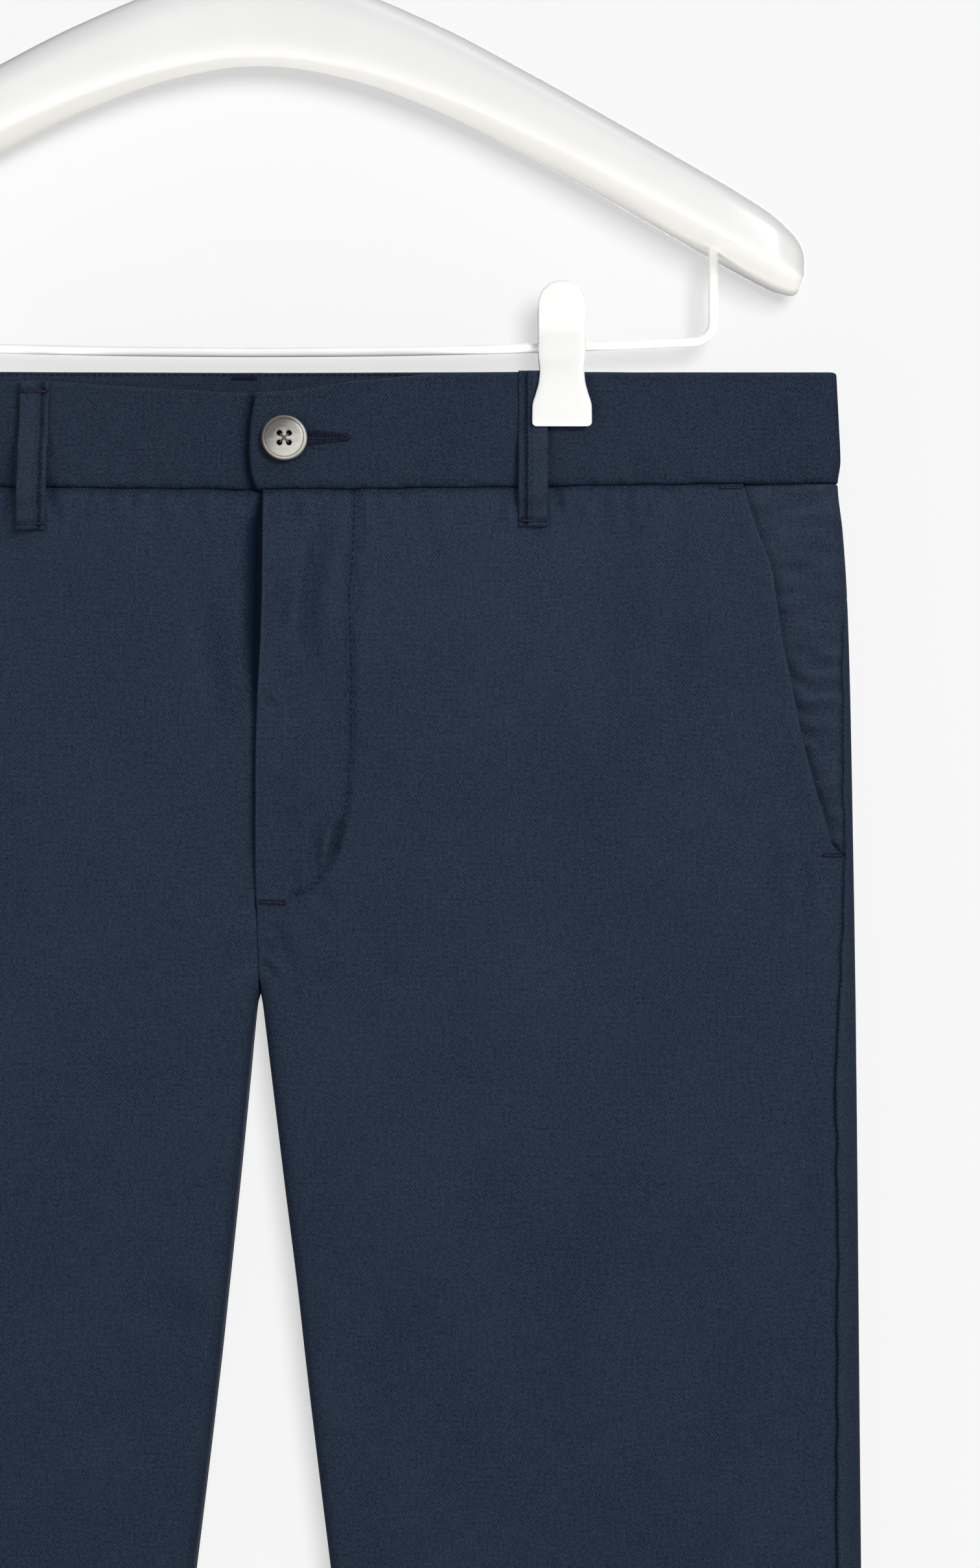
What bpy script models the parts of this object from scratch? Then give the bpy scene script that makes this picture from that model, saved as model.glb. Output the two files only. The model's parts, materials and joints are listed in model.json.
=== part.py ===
"""Bermuda shorts held by two clips on a hanger.

Metres, +Z up, +X to the wearer's left, the front faces -Y. The origin is where a rail
bears on the hanger's hook. Sizes are named below in millimetres and turned into metres
where a solid is made.
"""
import math

import bmesh
import bpy
from mathutils import Matrix, Vector
from mathutils.bvhtree import BVHTree

MM = 0.001

# ---------------------------------------------------------------- driving dimensions, mm
WAIST_DROP = 215.0          # hook's bearing point down to the waist's top edge
CLOTH = 1.4                 # wall of the turned and pressed cloth
BAND = 2.4                  # waistband, two layers and their interfacing
SEAM = 0.3                  # gap between two pieces at a seam, and between layers
BAND_HEIGHT = 41.7          # waistband's height at the side
BAND_DIP = 1.6              # how much lower its seam lies at the centre front
BAND_DIP_REACH = 40.0
CROTCH = 227.0              # waist's top edge down to the crotch point
LEG_END = 495.0             # waist's top edge down to the hem
HEM = 32.0                  # height of the turned hem
INSEAM_FOLD = 12.0          # how far in the rounding along an inseam reaches
CLIP_X = 112.0              # each clip's distance from the middle

# Sections down the garment: drop below the waist's top edge, half the garment's width, how
# far in the rounding at the side reaches, how far the front and the back stand off the
# middle plane, how much more each bulges between the clips, how much less it stands under
# a clip, and how much each leg crowns.
SECTIONS = (
    # drop, width, fold, front, back, front_bulge, back_bulge, pinch, crown
    (0.0, 212.9, 3.4, 3.4, 3.4, 8.2, 2.4, 0.65, 0.0),
    (20.0, 213.9, 3.8, 4.2, 4.2, 7.8, 2.4, 1.45, 0.0),
    (40.0, 213.2, 4.6, 5.4, 5.4, 7.0, 2.4, 2.3, 0.0),
    (58.0, 214.8, 6.0, 7.0, 6.8, 6.2, 2.2, 2.8, 0.0),
    (80.0, 216.5, 8.0, 8.6, 8.2, 5.0, 2.0, 2.7, 0.2),
    (115.0, 217.9, 10.0, 10.0, 9.6, 3.2, 1.5, 1.9, 0.6),
    (160.0, 218.5, 11.0, 10.8, 10.6, 1.4, 0.8, 1.0, 1.3),
    (227.0, 219.4, 12.0, 11.0, 11.0, 0.0, 0.0, 0.4, 2.2),
    (300.0, 220.4, 12.0, 11.0, 11.0, 0.0, 0.0, 0.0, 2.6),
    (380.0, 221.2, 12.0, 11.2, 11.2, 0.0, 0.0, 0.0, 2.6),
    (495.0, 222.4, 12.0, 11.6, 11.6, 0.0, 0.0, 0.0, 2.6),
)
SECTION_COLUMNS = ("drop", "width", "fold", "front", "back", "front_bulge", "back_bulge",
                   "pinch", "crown")
BULGE_REACH = 98.0          # the bulge ends this far either side of the middle
PINCH_FLAT = 13.0           # half the stretch that a clip holds flat
PINCH_FADE = 24.0           # how far beyond it the pinch fades

# Where the line between the legs lies, and half the gap between them.
GAP = (
    # drop, middle, half_gap
    (0.0, 0.0, 0.0),
    (120.0, 0.3, 0.0),
    (227.0, 1.1, 0.0),
    (248.0, 1.3, 2.4),
    (289.0, 1.9, 6.9),
    (330.0, 2.1, 11.3),
    (363.0, 2.2, 15.3),
    (495.0, 2.2, 31.5),
)

# The front waist's top edge: how far it lies below the back's, from right to left.
FRONT_TOP = (
    # across, drop
    (-213.0, 0.0), (-150.0, 1.0), (-94.0, 3.3), (-76.0, 3.7), (-48.0, 5.8), (-25.0, 7.1),
    (0.0, 7.5), (18.0, 6.4), (32.0, 4.4), (48.0, 2.7), (70.0, 0.4), (90.0, 0.0), (213.0, 0.0),
)

# The fly's free edge, then the centre front seam below it.
FLY_EDGE = (
    # drop, across
    (42.0, 1.8), (70.0, 1.4), (94.0, 0.8), (115.0, 0.0), (140.0, -0.5), (175.0, -0.6),
    (206.0, 0.2), (227.0, 1.1),
)
FLY_BOTTOM = 190.0          # below here the two fronts meet edge to edge
UNDERLAP = 3.0              # how far the right front runs past the middle, under the fly
VALLEY_OUTER = -16.0        # the right front starts to sink under the fly here
VALLEY_INNER = -6.0         # and is fully sunk here
# How deep the right front lies under the left one along the fly.
FLY_DEPTH = (
    # drop, depth
    (42.0, 2.6), (60.0, 3.3), (100.0, 3.6), (150.0, 3.0), (185.0, 1.8), (193.0, 1.75), (203.0, 0.0),
)
ZIP = {"from": 4.0, "to": 27.0, "teeth_from": 8.0, "teeth_to": 12.0, "tape": 0.9, "teeth": 0.6}
SHIELD = {"from": -9.0, "to": 34.0}

# The waistband's two ends at the centre front.
BAND_EDGE = (
    # drop, across
    (0.0, -0.2), (8.0, -0.5), (17.0, -2.0), (28.0, -2.7), (36.0, -2.1), (44.0, 0.4),
)
BAND_UNDERLAP = 34.0        # how far the right half runs on under the left one

# The slant pocket's mouth, and how far in from the side's fold the side seam lies.
MOUTH = (
    # drop, across
    (40.0, 178.6), (50.0, 181.4), (58.0, 184.0), (72.0, 189.0), (87.0, 191.2), (101.0, 193.3),
    (111.0, 195.5), (132.0, 199.5), (141.0, 201.7), (152.0, 204.6), (164.0, 208.3), (173.0, 210.7),
)
MOUTH_BOTTOM = 178.0
SIDE_SEAM = (
    # drop, reach
    (40.0, 0.0), (82.0, 0.0), (93.0, 1.9), (110.0, 3.0), (150.0, 3.7), (180.0, 3.8),
    (200.0, 4.8), (235.0, 7.2), (268.0, 8.8), (310.0, 8.5), (345.0, 9.0), (495.0, 10.8),
)
FACING_BOTTOM = 188.0

# The largest soft folds: troughs that run down a panel, and how long each takes to start
# and to end.
FOLD_START = 40.0
FOLD_END = 60.0
FOLDS = (
    # side, face, across, top, bottom, half_width, depth
    (1, -1, 172.0, 50.0, 190.0, 15.0, 0.9),
    (1, -1, 140.0, 60.0, 250.0, 11.0, -0.5),
    (1, -1, 112.0, 110.0, 320.0, 16.0, 0.8),
    (1, -1, 60.0, 230.0, 420.0, 22.0, 0.7),
    (1, -1, 196.0, 240.0, 495.0, 12.0, 0.7),
    (-1, -1, 168.0, 55.0, 200.0, 17.0, 0.9),
    (-1, -1, 104.0, 100.0, 300.0, 15.0, 0.9),
    (-1, -1, 52.0, 250.0, 440.0, 20.0, 0.8),
    (-1, -1, 190.0, 260.0, 495.0, 13.0, 0.6),
    (1, 1, 150.0, 60.0, 240.0, 18.0, 1.2),
    (1, 1, 70.0, 90.0, 330.0, 20.0, 1.1),
    (1, 1, 175.0, 260.0, 480.0, 16.0, 0.8),
    (-1, 1, 140.0, 70.0, 260.0, 17.0, 1.2),
    (-1, 1, 62.0, 110.0, 350.0, 22.0, 1.0),
    (-1, 1, 180.0, 240.0, 470.0, 15.0, 0.9),
)

# Belt loops: where each lies, and how far it leans over its length.
LOOPS = (
    # name, face, across, top, bottom, lean
    ("belt_loop_front_left", -1, 101.4, -0.6, 56.4, 0.0),
    ("belt_loop_front_right", -1, -82.0, 4.2, 57.8, -1.3),
    ("belt_loop_back_left", 1, 146.0, -0.4, 56.8, 0.0),
    ("belt_loop_back_right", 1, -146.0, -0.4, 56.8, 0.0),
    ("belt_loop_center_back", 1, -3.0, -0.4, 56.8, 0.0),
)
LOOP = {"width": 10.8, "cloth": 1.5, "slot": 2.2, "slot_top": 21.0, "slot_bottom": 51.0}

BUTTON = {"x": 10.2, "drop": 24.6, "radius": 8.35, "thick": 3.0, "rim": 1.25, "well": 0.7,
          "holes": 3.5, "hole_radius": 1.05, "shank": 1.0, "eye": 1.5}

# ---------------------------------------------------------------- hanger, mm above the waist
HOOK = {"wire": 2.0, "inside": 19.0, "open_to": 208.0, "turn": -38.0, "stem_bottom": 134.0}
BAR = {"wire": 1.75, "half": 168.0, "bend": 7.5, "middle": 8.3, "rise": 3.9, "top": 52.0}
# Sections of the arm from its middle to its tip: height of the section's middle above the
# waist, the section's own height and its depth from front to back.
ARM = (
    # across, middle, height, depth
    (0.0, 133.0, 33.0, 17.0),
    (6.0, 132.8, 32.9, 17.1),
    (30.0, 128.2, 31.0, 19.0),
    (65.0, 115.4, 28.0, 24.0),
    (100.0, 98.0, 26.0, 31.0),
    (130.0, 81.5, 25.0, 37.0),
    (155.0, 67.2, 24.5, 42.0),
    (175.0, 55.8, 24.0, 45.0),
    (188.0, 48.2, 22.6, 44.0),
    (196.0, 43.2, 19.0, 36.0),
    (200.0, 40.6, 14.0, 26.0),
    (201.6, 39.4, 7.0, 13.0),
)
ARM_STATIONS = (0, 8, 18, 30, 46, 65, 88, 112, 136, 158, 175, 188, 196, 200, 201.6)
ARM_TILT = 3.2              # how much lower the underside's back edge lies than its front
# A clip's jaw: height above the waist, half its width, where its inner face lies in front of
# the middle plane, and its thickness.
JAW = (
    # up, half_width, inner, thick
    (-19.5, 10.2, 5.1, 1.5),
    (-18.6, 11.0, 5.1, 2.2),
    (-12.0, 10.9, 5.1, 2.4),
    (-8.0, 9.8, 5.1, 2.5),
    (-3.0, 8.5, 5.0, 2.6),
    (1.5, 8.15, 4.8, 2.6),
    (6.0, 8.6, 4.4, 2.6),
    (14.0, 8.75, 4.4, 2.4),
    (25.0, 8.75, 6.8, 2.1),
    (29.4, 7.58, 7.8, 2.0),
    (32.6, 4.38, 8.5, 1.9),
    (33.7, 1.2, 8.7, 1.6),
)
GRIP = {"bottom": -18.1, "top": -14.3, "inner": 3.1, "sunk": 0.7}
KNUCKLE = {"outer": 3.7, "inner": 2.1, "sleeve": 3.3, "web": 2.6, "web_end": 5.3, "inset": 0.3}


# ---------------------------------------------------------------- small helpers
def clear_scene():
    for obj in list(bpy.data.objects):
        bpy.data.objects.remove(obj, do_unlink=True)


def make_material(name, colour, roughness, metallic=0.0):
    material = bpy.data.materials.new(name)
    material.use_nodes = True
    shader = material.node_tree.nodes["Principled BSDF"]
    shader.inputs["Base Color"].default_value = (*colour, 1.0)
    shader.inputs["Roughness"].default_value = roughness
    shader.inputs["Metallic"].default_value = metallic
    return material


def ease(share):
    share = min(max(share, 0.0), 1.0)
    return share * share * (3.0 - 2.0 * share)


def read_curve(places, values, at):
    """Value at a place on a smooth curve through places and their values, with no overshoot."""
    if at <= places[0]:
        return values[0]
    if at >= places[-1]:
        return values[-1]
    low = max(i for i, place in enumerate(places[:-1]) if place <= at)
    slopes = [(values[i + 1] - values[i]) / (places[i + 1] - places[i])
              for i in range(len(places) - 1)]

    def tangent(i):
        if i == 0:
            return slopes[0]
        if i == len(places) - 1:
            return slopes[-1]
        before, after = slopes[i - 1], slopes[i]
        if before * after <= 0.0:
            return 0.0
        return 2.0 * before * after / (before + after)

    span = places[low + 1] - places[low]
    t = (at - places[low]) / span
    rise = values[low + 1] - values[low]
    start, end = tangent(low) * span, tangent(low + 1) * span
    return (values[low] + start * t + (3.0 * rise - 2.0 * start - end) * t ** 2
            + (start + end - 2.0 * rise) * t ** 3)


def read_table(table, column, at):
    return read_curve([row[0] for row in table], [row[column] for row in table], at)


def section(name, drop):
    return read_table(SECTIONS, SECTION_COLUMNS.index(name), drop)


def rounding(share):
    """Quarter of an ellipse: 0 at the edge, 1 from a share of 1 inwards."""
    share = min(max(share, 0.0), 1.0)
    return math.sqrt(1.0 - (1.0 - share) ** 2)


def place(across, depth, drop):
    """A point in metres from its place on the garment in millimetres."""
    return Vector((across, depth, -WAIST_DROP - drop)) * MM


# ---------------------------------------------------------------- the garment's skin
def gap_edge(side, drop):
    """Where a leg's inner edge lies across the garment, below the crotch."""
    return read_table(GAP, 1, drop) + side * (read_table(GAP, 2, drop) + SEAM / 2)


def stand_off(face, across, drop):
    """How far the front (-1) or the back (+1) stands off the middle plane."""
    side = 1 if across >= 0 else -1
    height = section("front" if face < 0 else "back", drop)
    if abs(across) < BULGE_REACH:
        bulge = section("front_bulge" if face < 0 else "back_bulge", drop)
        height += bulge * math.cos(math.pi / 2 * across / BULGE_REACH) ** 2
    beyond = (abs(abs(across) - CLIP_X) - PINCH_FLAT) / PINCH_FADE
    height -= section("pinch", drop) * (1.0 - ease(beyond))
    width = section("width", drop)
    middle = width / 2
    height += section("crown", drop) * (1.0 - ((abs(across) - middle) / middle) ** 2)
    for fold_side, fold_face, fold_across, top, bottom, half_width, depth in FOLDS:
        if fold_side == side and fold_face == face:
            length = ease((drop - top) / FOLD_START)
            length *= ease((bottom - drop) / FOLD_END + (bottom >= LEG_END))
            height -= depth * length * math.exp(-((abs(across) - fold_across) / half_width) ** 2)
    return height


def inner_rounding(side, across, drop, inset):
    """How the cloth rounds down to the inseam, and to the crotch point from above."""
    if drop >= CROTCH:
        reach = side * (across - gap_edge(side, drop)) - inset
    else:
        reach = math.hypot(across - read_table(GAP, 1, CROTCH), CROTCH - drop) - inset
    return rounding(reach / (INSEAM_FOLD - inset))


def skin(side, x, drop, face, inset, sink=0.0):
    """A point on a front or back: x is measured from the middle towards the side."""
    width, fold = section("width", drop), section("fold", drop)
    across = side * x
    height = stand_off(face, across, drop) - inset
    height *= rounding((width - inset - x) / (fold - inset))
    height *= inner_rounding(side, across, drop, inset)
    return place(across, face * max(height - sink, SEAM / 2), drop)


def fold_point(side, angle, drop, inset):
    """A point round the side's fold: angle 0 at its tip, below 0 on the front."""
    face = 1 if angle > 0 else -1
    width, fold = section("width", drop), section("fold", drop)
    x = width - inset - (fold - inset) * (1.0 - math.cos(angle))
    height = stand_off(face, side * x, drop) - inset
    return place(side * x, math.sin(angle) * height, drop)


def at_reach(drop, reach, inset):
    """Distance from the middle of a point that lies `reach` in from the fold's tip."""
    width, fold = section("width", drop), section("fold", drop)
    if reach >= fold:
        return width - reach
    return width - inset - (fold - inset) * reach / fold


def seam_angle(drop):
    """Angle round the side's fold at which the side seam lies."""
    return math.acos(1.0 - min(read_table(SIDE_SEAM, 1, drop) / section("fold", drop), 1.0))


def seam_reach(drop):
    """The side seam's reach, less the front's half of the gap."""
    return read_table(SIDE_SEAM, 1, drop) + SEAM / 2 * math.sin(seam_angle(drop))


# ---------------------------------------------------------------- solids from grids of points
def solid_object(name, points, faces, material):
    """One closed object from points in metres and faces, turned to face out."""
    mesh = bpy.data.meshes.new(name)
    shape = bmesh.new()
    vertices = [shape.verts.new(point) for point in points]
    for face in faces:
        shape.faces.new([vertices[i] for i in face])
    bmesh.ops.recalc_face_normals(shape, faces=shape.faces)
    shape.to_mesh(mesh)
    shape.free()
    mesh.materials.append(material)
    obj = bpy.data.objects.new(name, mesh)
    bpy.context.collection.objects.link(obj)
    return obj


def wall(name, outer, inner, material):
    """A cloth wall between two grids of points that have the same rows and columns."""
    rows, columns = len(outer), len(outer[0])
    points = [point for grid in (outer, inner) for row in grid for point in row]
    layer = rows * columns
    faces = []
    for row in range(rows - 1):
        for column in range(columns - 1):
            here = row * columns + column
            below = here + columns
            for base in (0, layer):
                faces.append((base + here, base + below, base + below + 1))
                faces.append((base + here, base + below + 1, base + here + 1))
    rim = [column for column in range(columns)]
    rim += [row * columns + columns - 1 for row in range(1, rows)]
    rim += [(rows - 1) * columns + column for column in range(columns - 2, -1, -1)]
    rim += [row * columns for row in range(rows - 2, 0, -1)]
    for here, following in zip(rim, rim[1:] + rim[:1]):
        faces.append((here, following, following + layer))
        faces.append((here, following + layer, here + layer))
    obj = solid_object(name, points, faces, material)
    shade(obj)
    return obj


def shade(obj, degrees=40.0):
    obj.data.shade_smooth()
    obj.data.set_sharp_from_angle(angle=math.radians(degrees))


def tube(name, path, radius, sides, material):
    """A round wire along a path of points in metres, with flat ends."""
    rings, axis_before, across = [], None, None
    for i, centre in enumerate(path):
        ahead = path[min(i + 1, len(path) - 1)]
        behind = path[max(i - 1, 0)]
        axis = (ahead - behind).normalized()
        if across is None:
            across = axis.orthogonal().normalized()
        else:
            across = axis_before.rotation_difference(axis) @ across
        axis_before = axis
        other = axis.cross(across)
        turns = [2.0 * math.pi * k / sides for k in range(sides)]
        rings.append([centre + radius * (math.cos(a) * across + math.sin(a) * other) for a in turns])
    return ringed(name, rings, material)


def ringed(name, rings, material):
    """A closed solid through rings that have the same number of points."""
    sides = len(rings[0])
    points = [point for ring in rings for point in ring]
    faces = [tuple(range(sides)), tuple(range(len(points) - sides, len(points)))]
    for ring in range(len(rings) - 1):
        for k in range(sides):
            here, following = ring * sides + k, ring * sides + (k + 1) % sides
            faces.append((here, following, following + sides, here + sides))
    obj = solid_object(name, points, faces, material)
    shade(obj)
    return obj


def apply_boolean(obj, operation, tool):
    """Join a tool to an object or cut it away, and remove the tool."""
    modifier = obj.modifiers.new(operation.title(), "BOOLEAN")
    modifier.operation = operation
    modifier.solver = "EXACT"
    modifier.object = tool
    bpy.context.view_layer.update()
    graph = bpy.context.evaluated_depsgraph_get()
    result = bpy.data.meshes.new_from_object(obj.evaluated_get(graph))
    obj.modifiers.clear()
    obj.data = result
    bpy.data.objects.remove(tool, do_unlink=True)


def rod(name, start, end, radius, sides, material=None):
    """A straight round rod between two points in metres."""
    axis = end - start
    turn = Vector((0, 0, 1)).rotation_difference(axis).to_matrix().to_4x4()
    mesh = bpy.data.meshes.new(name)
    shape = bmesh.new()
    bmesh.ops.create_cone(shape, cap_ends=True, segments=sides, radius1=radius, radius2=radius,
                          depth=axis.length, matrix=Matrix.Translation((start + end) / 2) @ turn)
    shape.to_mesh(mesh)
    shape.free()
    if material:
        mesh.materials.append(material)
    obj = bpy.data.objects.new(name, mesh)
    bpy.context.collection.objects.link(obj)
    return obj


def block(name, low, high):
    """A plain block between two corners in millimetres."""
    corners = [(x, y, z) for z in (low[2], high[2]) for y in (low[1], high[1])
               for x in (low[0], high[0])]
    faces = [(0, 1, 3, 2), (4, 6, 7, 5), (0, 4, 5, 1), (2, 3, 7, 6), (0, 2, 6, 4), (1, 5, 7, 3)]
    mesh = bpy.data.meshes.new(name)
    mesh.from_pydata([Vector(corner) * MM for corner in corners], [], faces)
    obj = bpy.data.objects.new(name, mesh)
    bpy.context.collection.objects.link(obj)
    return obj


# ---------------------------------------------------------------- fronts and backs
PANEL_ROWS = (44, 52, 62, 73, 87, 101, 118, 135, 151, 164, 173, 181, 188, 193, 203, 210,
              215, 221, 225, 227, 233, 245, 262, 285, 315, 350, 390, 430, 461, 464, 495)
# Columns from the inner edge: degrees round the inseam's fold, then millimetres beyond it.
INNER_COLUMNS = ((0, 0.0), (33, 0.0), (60, 0.0), (90, 0.0), (90, 8.0))
# The other columns, as shares of the way to the side, on a front and on a back.
ACROSS = (0.13, 0.27, 0.41, 0.55, 0.68, 0.8, 0.9, 0.96, 1.0)
BACK_ACROSS = (0.17, 0.35, 0.53, 0.71, 0.88, 1.0)
# Columns of a back round the side's fold, as shares of the turn from the side seam.
ROUND_SIDE = (0.0, 0.14, 0.3, 0.5, 0.74, 1.0)


def seam_drop(across):
    """Where the waistband's seam lies below the waist."""
    return BAND_HEIGHT + BAND_DIP * math.exp(-(across / BAND_DIP_REACH) ** 2)


def panel_drop(drop, across):
    """The panels' top row follows the waistband's seam."""
    return seam_drop(across) + SEAM if drop == PANEL_ROWS[0] else drop


def fly_depth(across, drop):
    """How far the right front is sunk where it runs under the fly."""
    share = ease((across - VALLEY_OUTER) / (VALLEY_INNER - VALLEY_OUTER))
    return read_table(FLY_DEPTH, 1, drop) * share


def front_edge(side, drop):
    """Where a front's inner edge lies across the garment."""
    if drop >= CROTCH:
        return gap_edge(side, drop)
    middle = read_table(FLY_EDGE, 1, drop) + side * SEAM / 2
    if side < 0 and drop <= FLY_BOTTOM:
        return UNDERLAP
    return middle


def back_edge(side, drop):
    if drop >= CROTCH:
        return gap_edge(side, drop)
    return read_table(GAP, 1, drop) + side * SEAM / 2


def inner_x(side, edge, drop, column, inset):
    """Distance from the middle of one of the inner columns."""
    angle, beyond = INNER_COLUMNS[column]
    turned = 1.0 - math.cos(math.radians(angle))
    if drop >= CROTCH:
        return side * edge + inset + (INSEAM_FOLD - inset) * turned + beyond
    return side * edge + INSEAM_FOLD * turned + beyond


def panel_x(side, edge, outer_x, drop, column, inset, shares=ACROSS):
    """Distance from the middle of any column between a panel's inner edge and its outer one."""
    if column < len(INNER_COLUMNS):
        return inner_x(side, edge, drop, column, inset)
    start = inner_x(side, edge, drop, len(INNER_COLUMNS) - 1, inset)
    return start + (outer_x - start) * shares[column - len(INNER_COLUMNS)]


def lining_up(drop, inset):
    """The wall is twice as thick where the hem is turned up inside."""
    return inset * (2.0 if drop > LEG_END - HEM else 1.0)


def front_outer_x(drop, inset):
    """Distance from the middle of a front's outer edge: the pocket's mouth, then the seam."""
    if drop < MOUTH_BOTTOM:
        return at_reach(drop, section("width", drop) - read_table(MOUTH, 1, drop), inset)
    return at_reach(drop, seam_reach(drop), inset)


def make_front(name, side, material):
    grids = []
    for layer in (0.0, CLOTH):
        grid = []
        for row in PANEL_ROWS:
            inset = lining_up(row, layer)
            edge = front_edge(side, row)
            outer_x = front_outer_x(row, inset)
            line = []
            for column in range(len(INNER_COLUMNS) + len(ACROSS)):
                x = panel_x(side, edge, outer_x, row, column, inset)
                sink = fly_depth(side * x, row) if side < 0 else 0.0
                line.append(skin(side, x, panel_drop(row, side * x), -1, inset, sink))
            grid.append(line)
        grids.append(grid)
    return wall(name, grids[0], grids[1], material)


def make_back(name, side, material):
    grids = []
    for layer in (0.0, CLOTH):
        grid = []
        for row in PANEL_ROWS:
            inset = lining_up(row, layer)
            drop = BAND_HEIGHT + SEAM if row == PANEL_ROWS[0] else row
            fold = section("fold", drop)
            start = SEAM / 2 / math.hypot(fold * math.sin(seam_angle(drop)),
                                          stand_off(1, side * section("width", drop), drop)
                                          * math.cos(seam_angle(drop)))
            start -= seam_angle(drop)
            line = [fold_point(side, start + (math.pi / 2 - start) * share, drop, inset)
                    for share in ROUND_SIDE]
            edge = back_edge(side, drop)
            outer_x = section("width", drop) - fold
            columns = len(INNER_COLUMNS) + len(BACK_ACROSS) - 1
            for column in range(columns - 1, -1, -1):
                x = panel_x(side, edge, outer_x, drop, column, inset, BACK_ACROSS)
                line.append(skin(side, x, drop, 1, inset))
            grid.append(line)
        grids.append(grid)
    return wall(name, grids[0], grids[1], material)


# ---------------------------------------------------------------- pockets and fly
FACING_ROWS = tuple(row for row in PANEL_ROWS if row <= FACING_BOTTOM)
FACING_COLUMNS = 4                          # the front's last columns, which it lies under
FACING_OPEN = (0.3, 0.65, 1.0)              # shares of the stretch that shows


def facing_under(drop):
    """How far the facing lies under the front's outer skin, more where the mouth closes."""
    return CLOTH + SEAM + 0.1 + 1.1 * ease((drop - 156.0) / 14.0)


def make_facing(name, side, material):
    """The pocket's facing: under the front, then rising to lie level at the side seam."""
    grids = []
    for layer in (0.0, CLOTH):
        grid = []
        for row in FACING_ROWS:
            seam = section("width", row) - seam_reach(row)
            mouth = min(read_table(MOUTH, 1, row), seam - 2.0)
            rise = 1.0 - ease((row - 138.0) / 28.0)
            edge = front_edge(side, row)
            line = []
            under = facing_under(row)
            outer_x = at_reach(row, section("width", row) - mouth, under + layer)
            last = len(INNER_COLUMNS) + len(ACROSS)
            for column in range(last - FACING_COLUMNS, last):
                x = panel_x(side, edge, outer_x, row, column, under + layer)
                line.append(skin(side, x, panel_drop(row, side * x), -1, under + layer))
            for share in FACING_OPEN:
                inset = under * (1.0 - ease(share) * rise) + layer
                start = at_reach(row, section("width", row) - mouth, inset)
                end = at_reach(row, seam_reach(row), inset)
                x = start + (end - start) * share
                line.append(skin(side, x, panel_drop(row, side * x), -1, inset))
            grid.append(line)
        grids.append(grid)
    return wall(name, grids[0], grids[1], material)


FLY_ROWS = (44, 60, 80, 100, 125, 150, 172, 188)
FLY_LAYER = 0.3             # the zip's outer face lies this far under the sunk front's


def fly_strip(name, columns, material):
    """A strip under the fly. Each column: across, its outer face's and inner face's depth
    under the sunk right front's outer skin."""
    grids = []
    for layer in (1, 2):
        grid = []
        for row in FLY_ROWS:
            line = []
            for column in columns:
                across = column[0]
                depth = read_table(FLY_DEPTH, 1, row) + column[layer]
                drop = panel_drop(row, across)
                line.append(place(across, depth - stand_off(-1, across, drop), drop))
            grid.append(line)
        grids.append(grid)
    return wall(name, grids[0], grids[1], material)


def make_zip(material):
    inner = FLY_LAYER + ZIP["tape"]
    proud = FLY_LAYER - ZIP["teeth"]
    slope = 0.5
    columns = [(ZIP["from"], FLY_LAYER, inner), (ZIP["teeth_from"], FLY_LAYER, inner),
               (ZIP["teeth_from"] + slope, proud, inner), (ZIP["teeth_to"] - slope, proud, inner),
               (ZIP["teeth_to"], FLY_LAYER, inner), (ZIP["to"], FLY_LAYER, inner)]
    return fly_strip("fly_zip", columns, material)


def make_shield(material):
    outer = CLOTH + SEAM + 0.1
    places = (SHIELD["from"], 0.0, 10.0, 20.0, SHIELD["to"])
    return fly_strip("fly_shield", [(x, outer, outer + CLOTH) for x in places], material)


# ---------------------------------------------------------------- waistband and loops
BAND_ROWS = (0.0, 0.34, 0.68, 1.0)          # shares of the band's height
BAND_OVER = (0.0, 5.0, 12.0, 20.0, 30.0)    # millimetres from the overlap's end
BAND_UNDER = (0.0, 11.0, 22.0, 29.0, 35.0, 40.0, 46.0, 52.0, 60.0)
BAND_FRONT = (44.0, 60.0, 76.0, 88.0, 98.0, 126.0, 140.0, 160.0, 182.0, 198.0, 206.0)
BAND_ROUND = (-90, -55, -22, 0, 22, 55, 90)
BAND_BACK = (198.0, 170.0, 140.0, 124.0, 98.0, 84.0, 64.0, 44.0, 22.0)


def band_sink(across):
    """How far the right half is sunk where it runs under the left one."""
    share = ease((across - VALLEY_OUTER) / (VALLEY_INNER - VALLEY_OUTER))
    return (BAND + SEAM + 0.05) * share


def band_drop(face, across, share):
    """Where a share of the band's height lies below the waist."""
    top = read_table(FRONT_TOP, 1, across) if face < 0 else 0.0
    bottom = seam_drop(across) if face < 0 else BAND_HEIGHT
    return top + (bottom - top) * share


def make_waistband(name, side, material):
    grids = []
    for inset in (0.0, BAND):
        grid = []
        for share in BAND_ROWS:
            line = []
            drop = band_drop(-1, 0.0, share)
            start = side * read_table(BAND_EDGE, 1, drop) if side > 0 else -BAND_UNDERLAP
            for step in (BAND_OVER if side > 0 else BAND_UNDER):
                x = start + step
                across = side * x
                sink = band_sink(across) if side < 0 else 0.0
                line.append(skin(side, x, band_drop(-1, across, share), -1, inset, sink))
            for x in BAND_FRONT:
                line.append(skin(side, x, band_drop(-1, side * x, share), -1, inset))
            for degrees in BAND_ROUND:
                face = -1 if degrees < 0 else 1
                drop = band_drop(face, side * section("width", 0.0), share)
                line.append(fold_point(side, math.radians(degrees), drop, inset))
            for x in BAND_BACK + (SEAM / 2,):
                line.append(skin(side, x, BAND_HEIGHT * share, 1, inset))
            grid.append(line)
        grids.append(grid)
    return wall(name, grids[0], grids[1], material)


LOOP_ROWS = (0.0, 0.2, 0.36, 0.46, 0.6, 0.76, 0.88, 0.95, 1.0)


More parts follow.
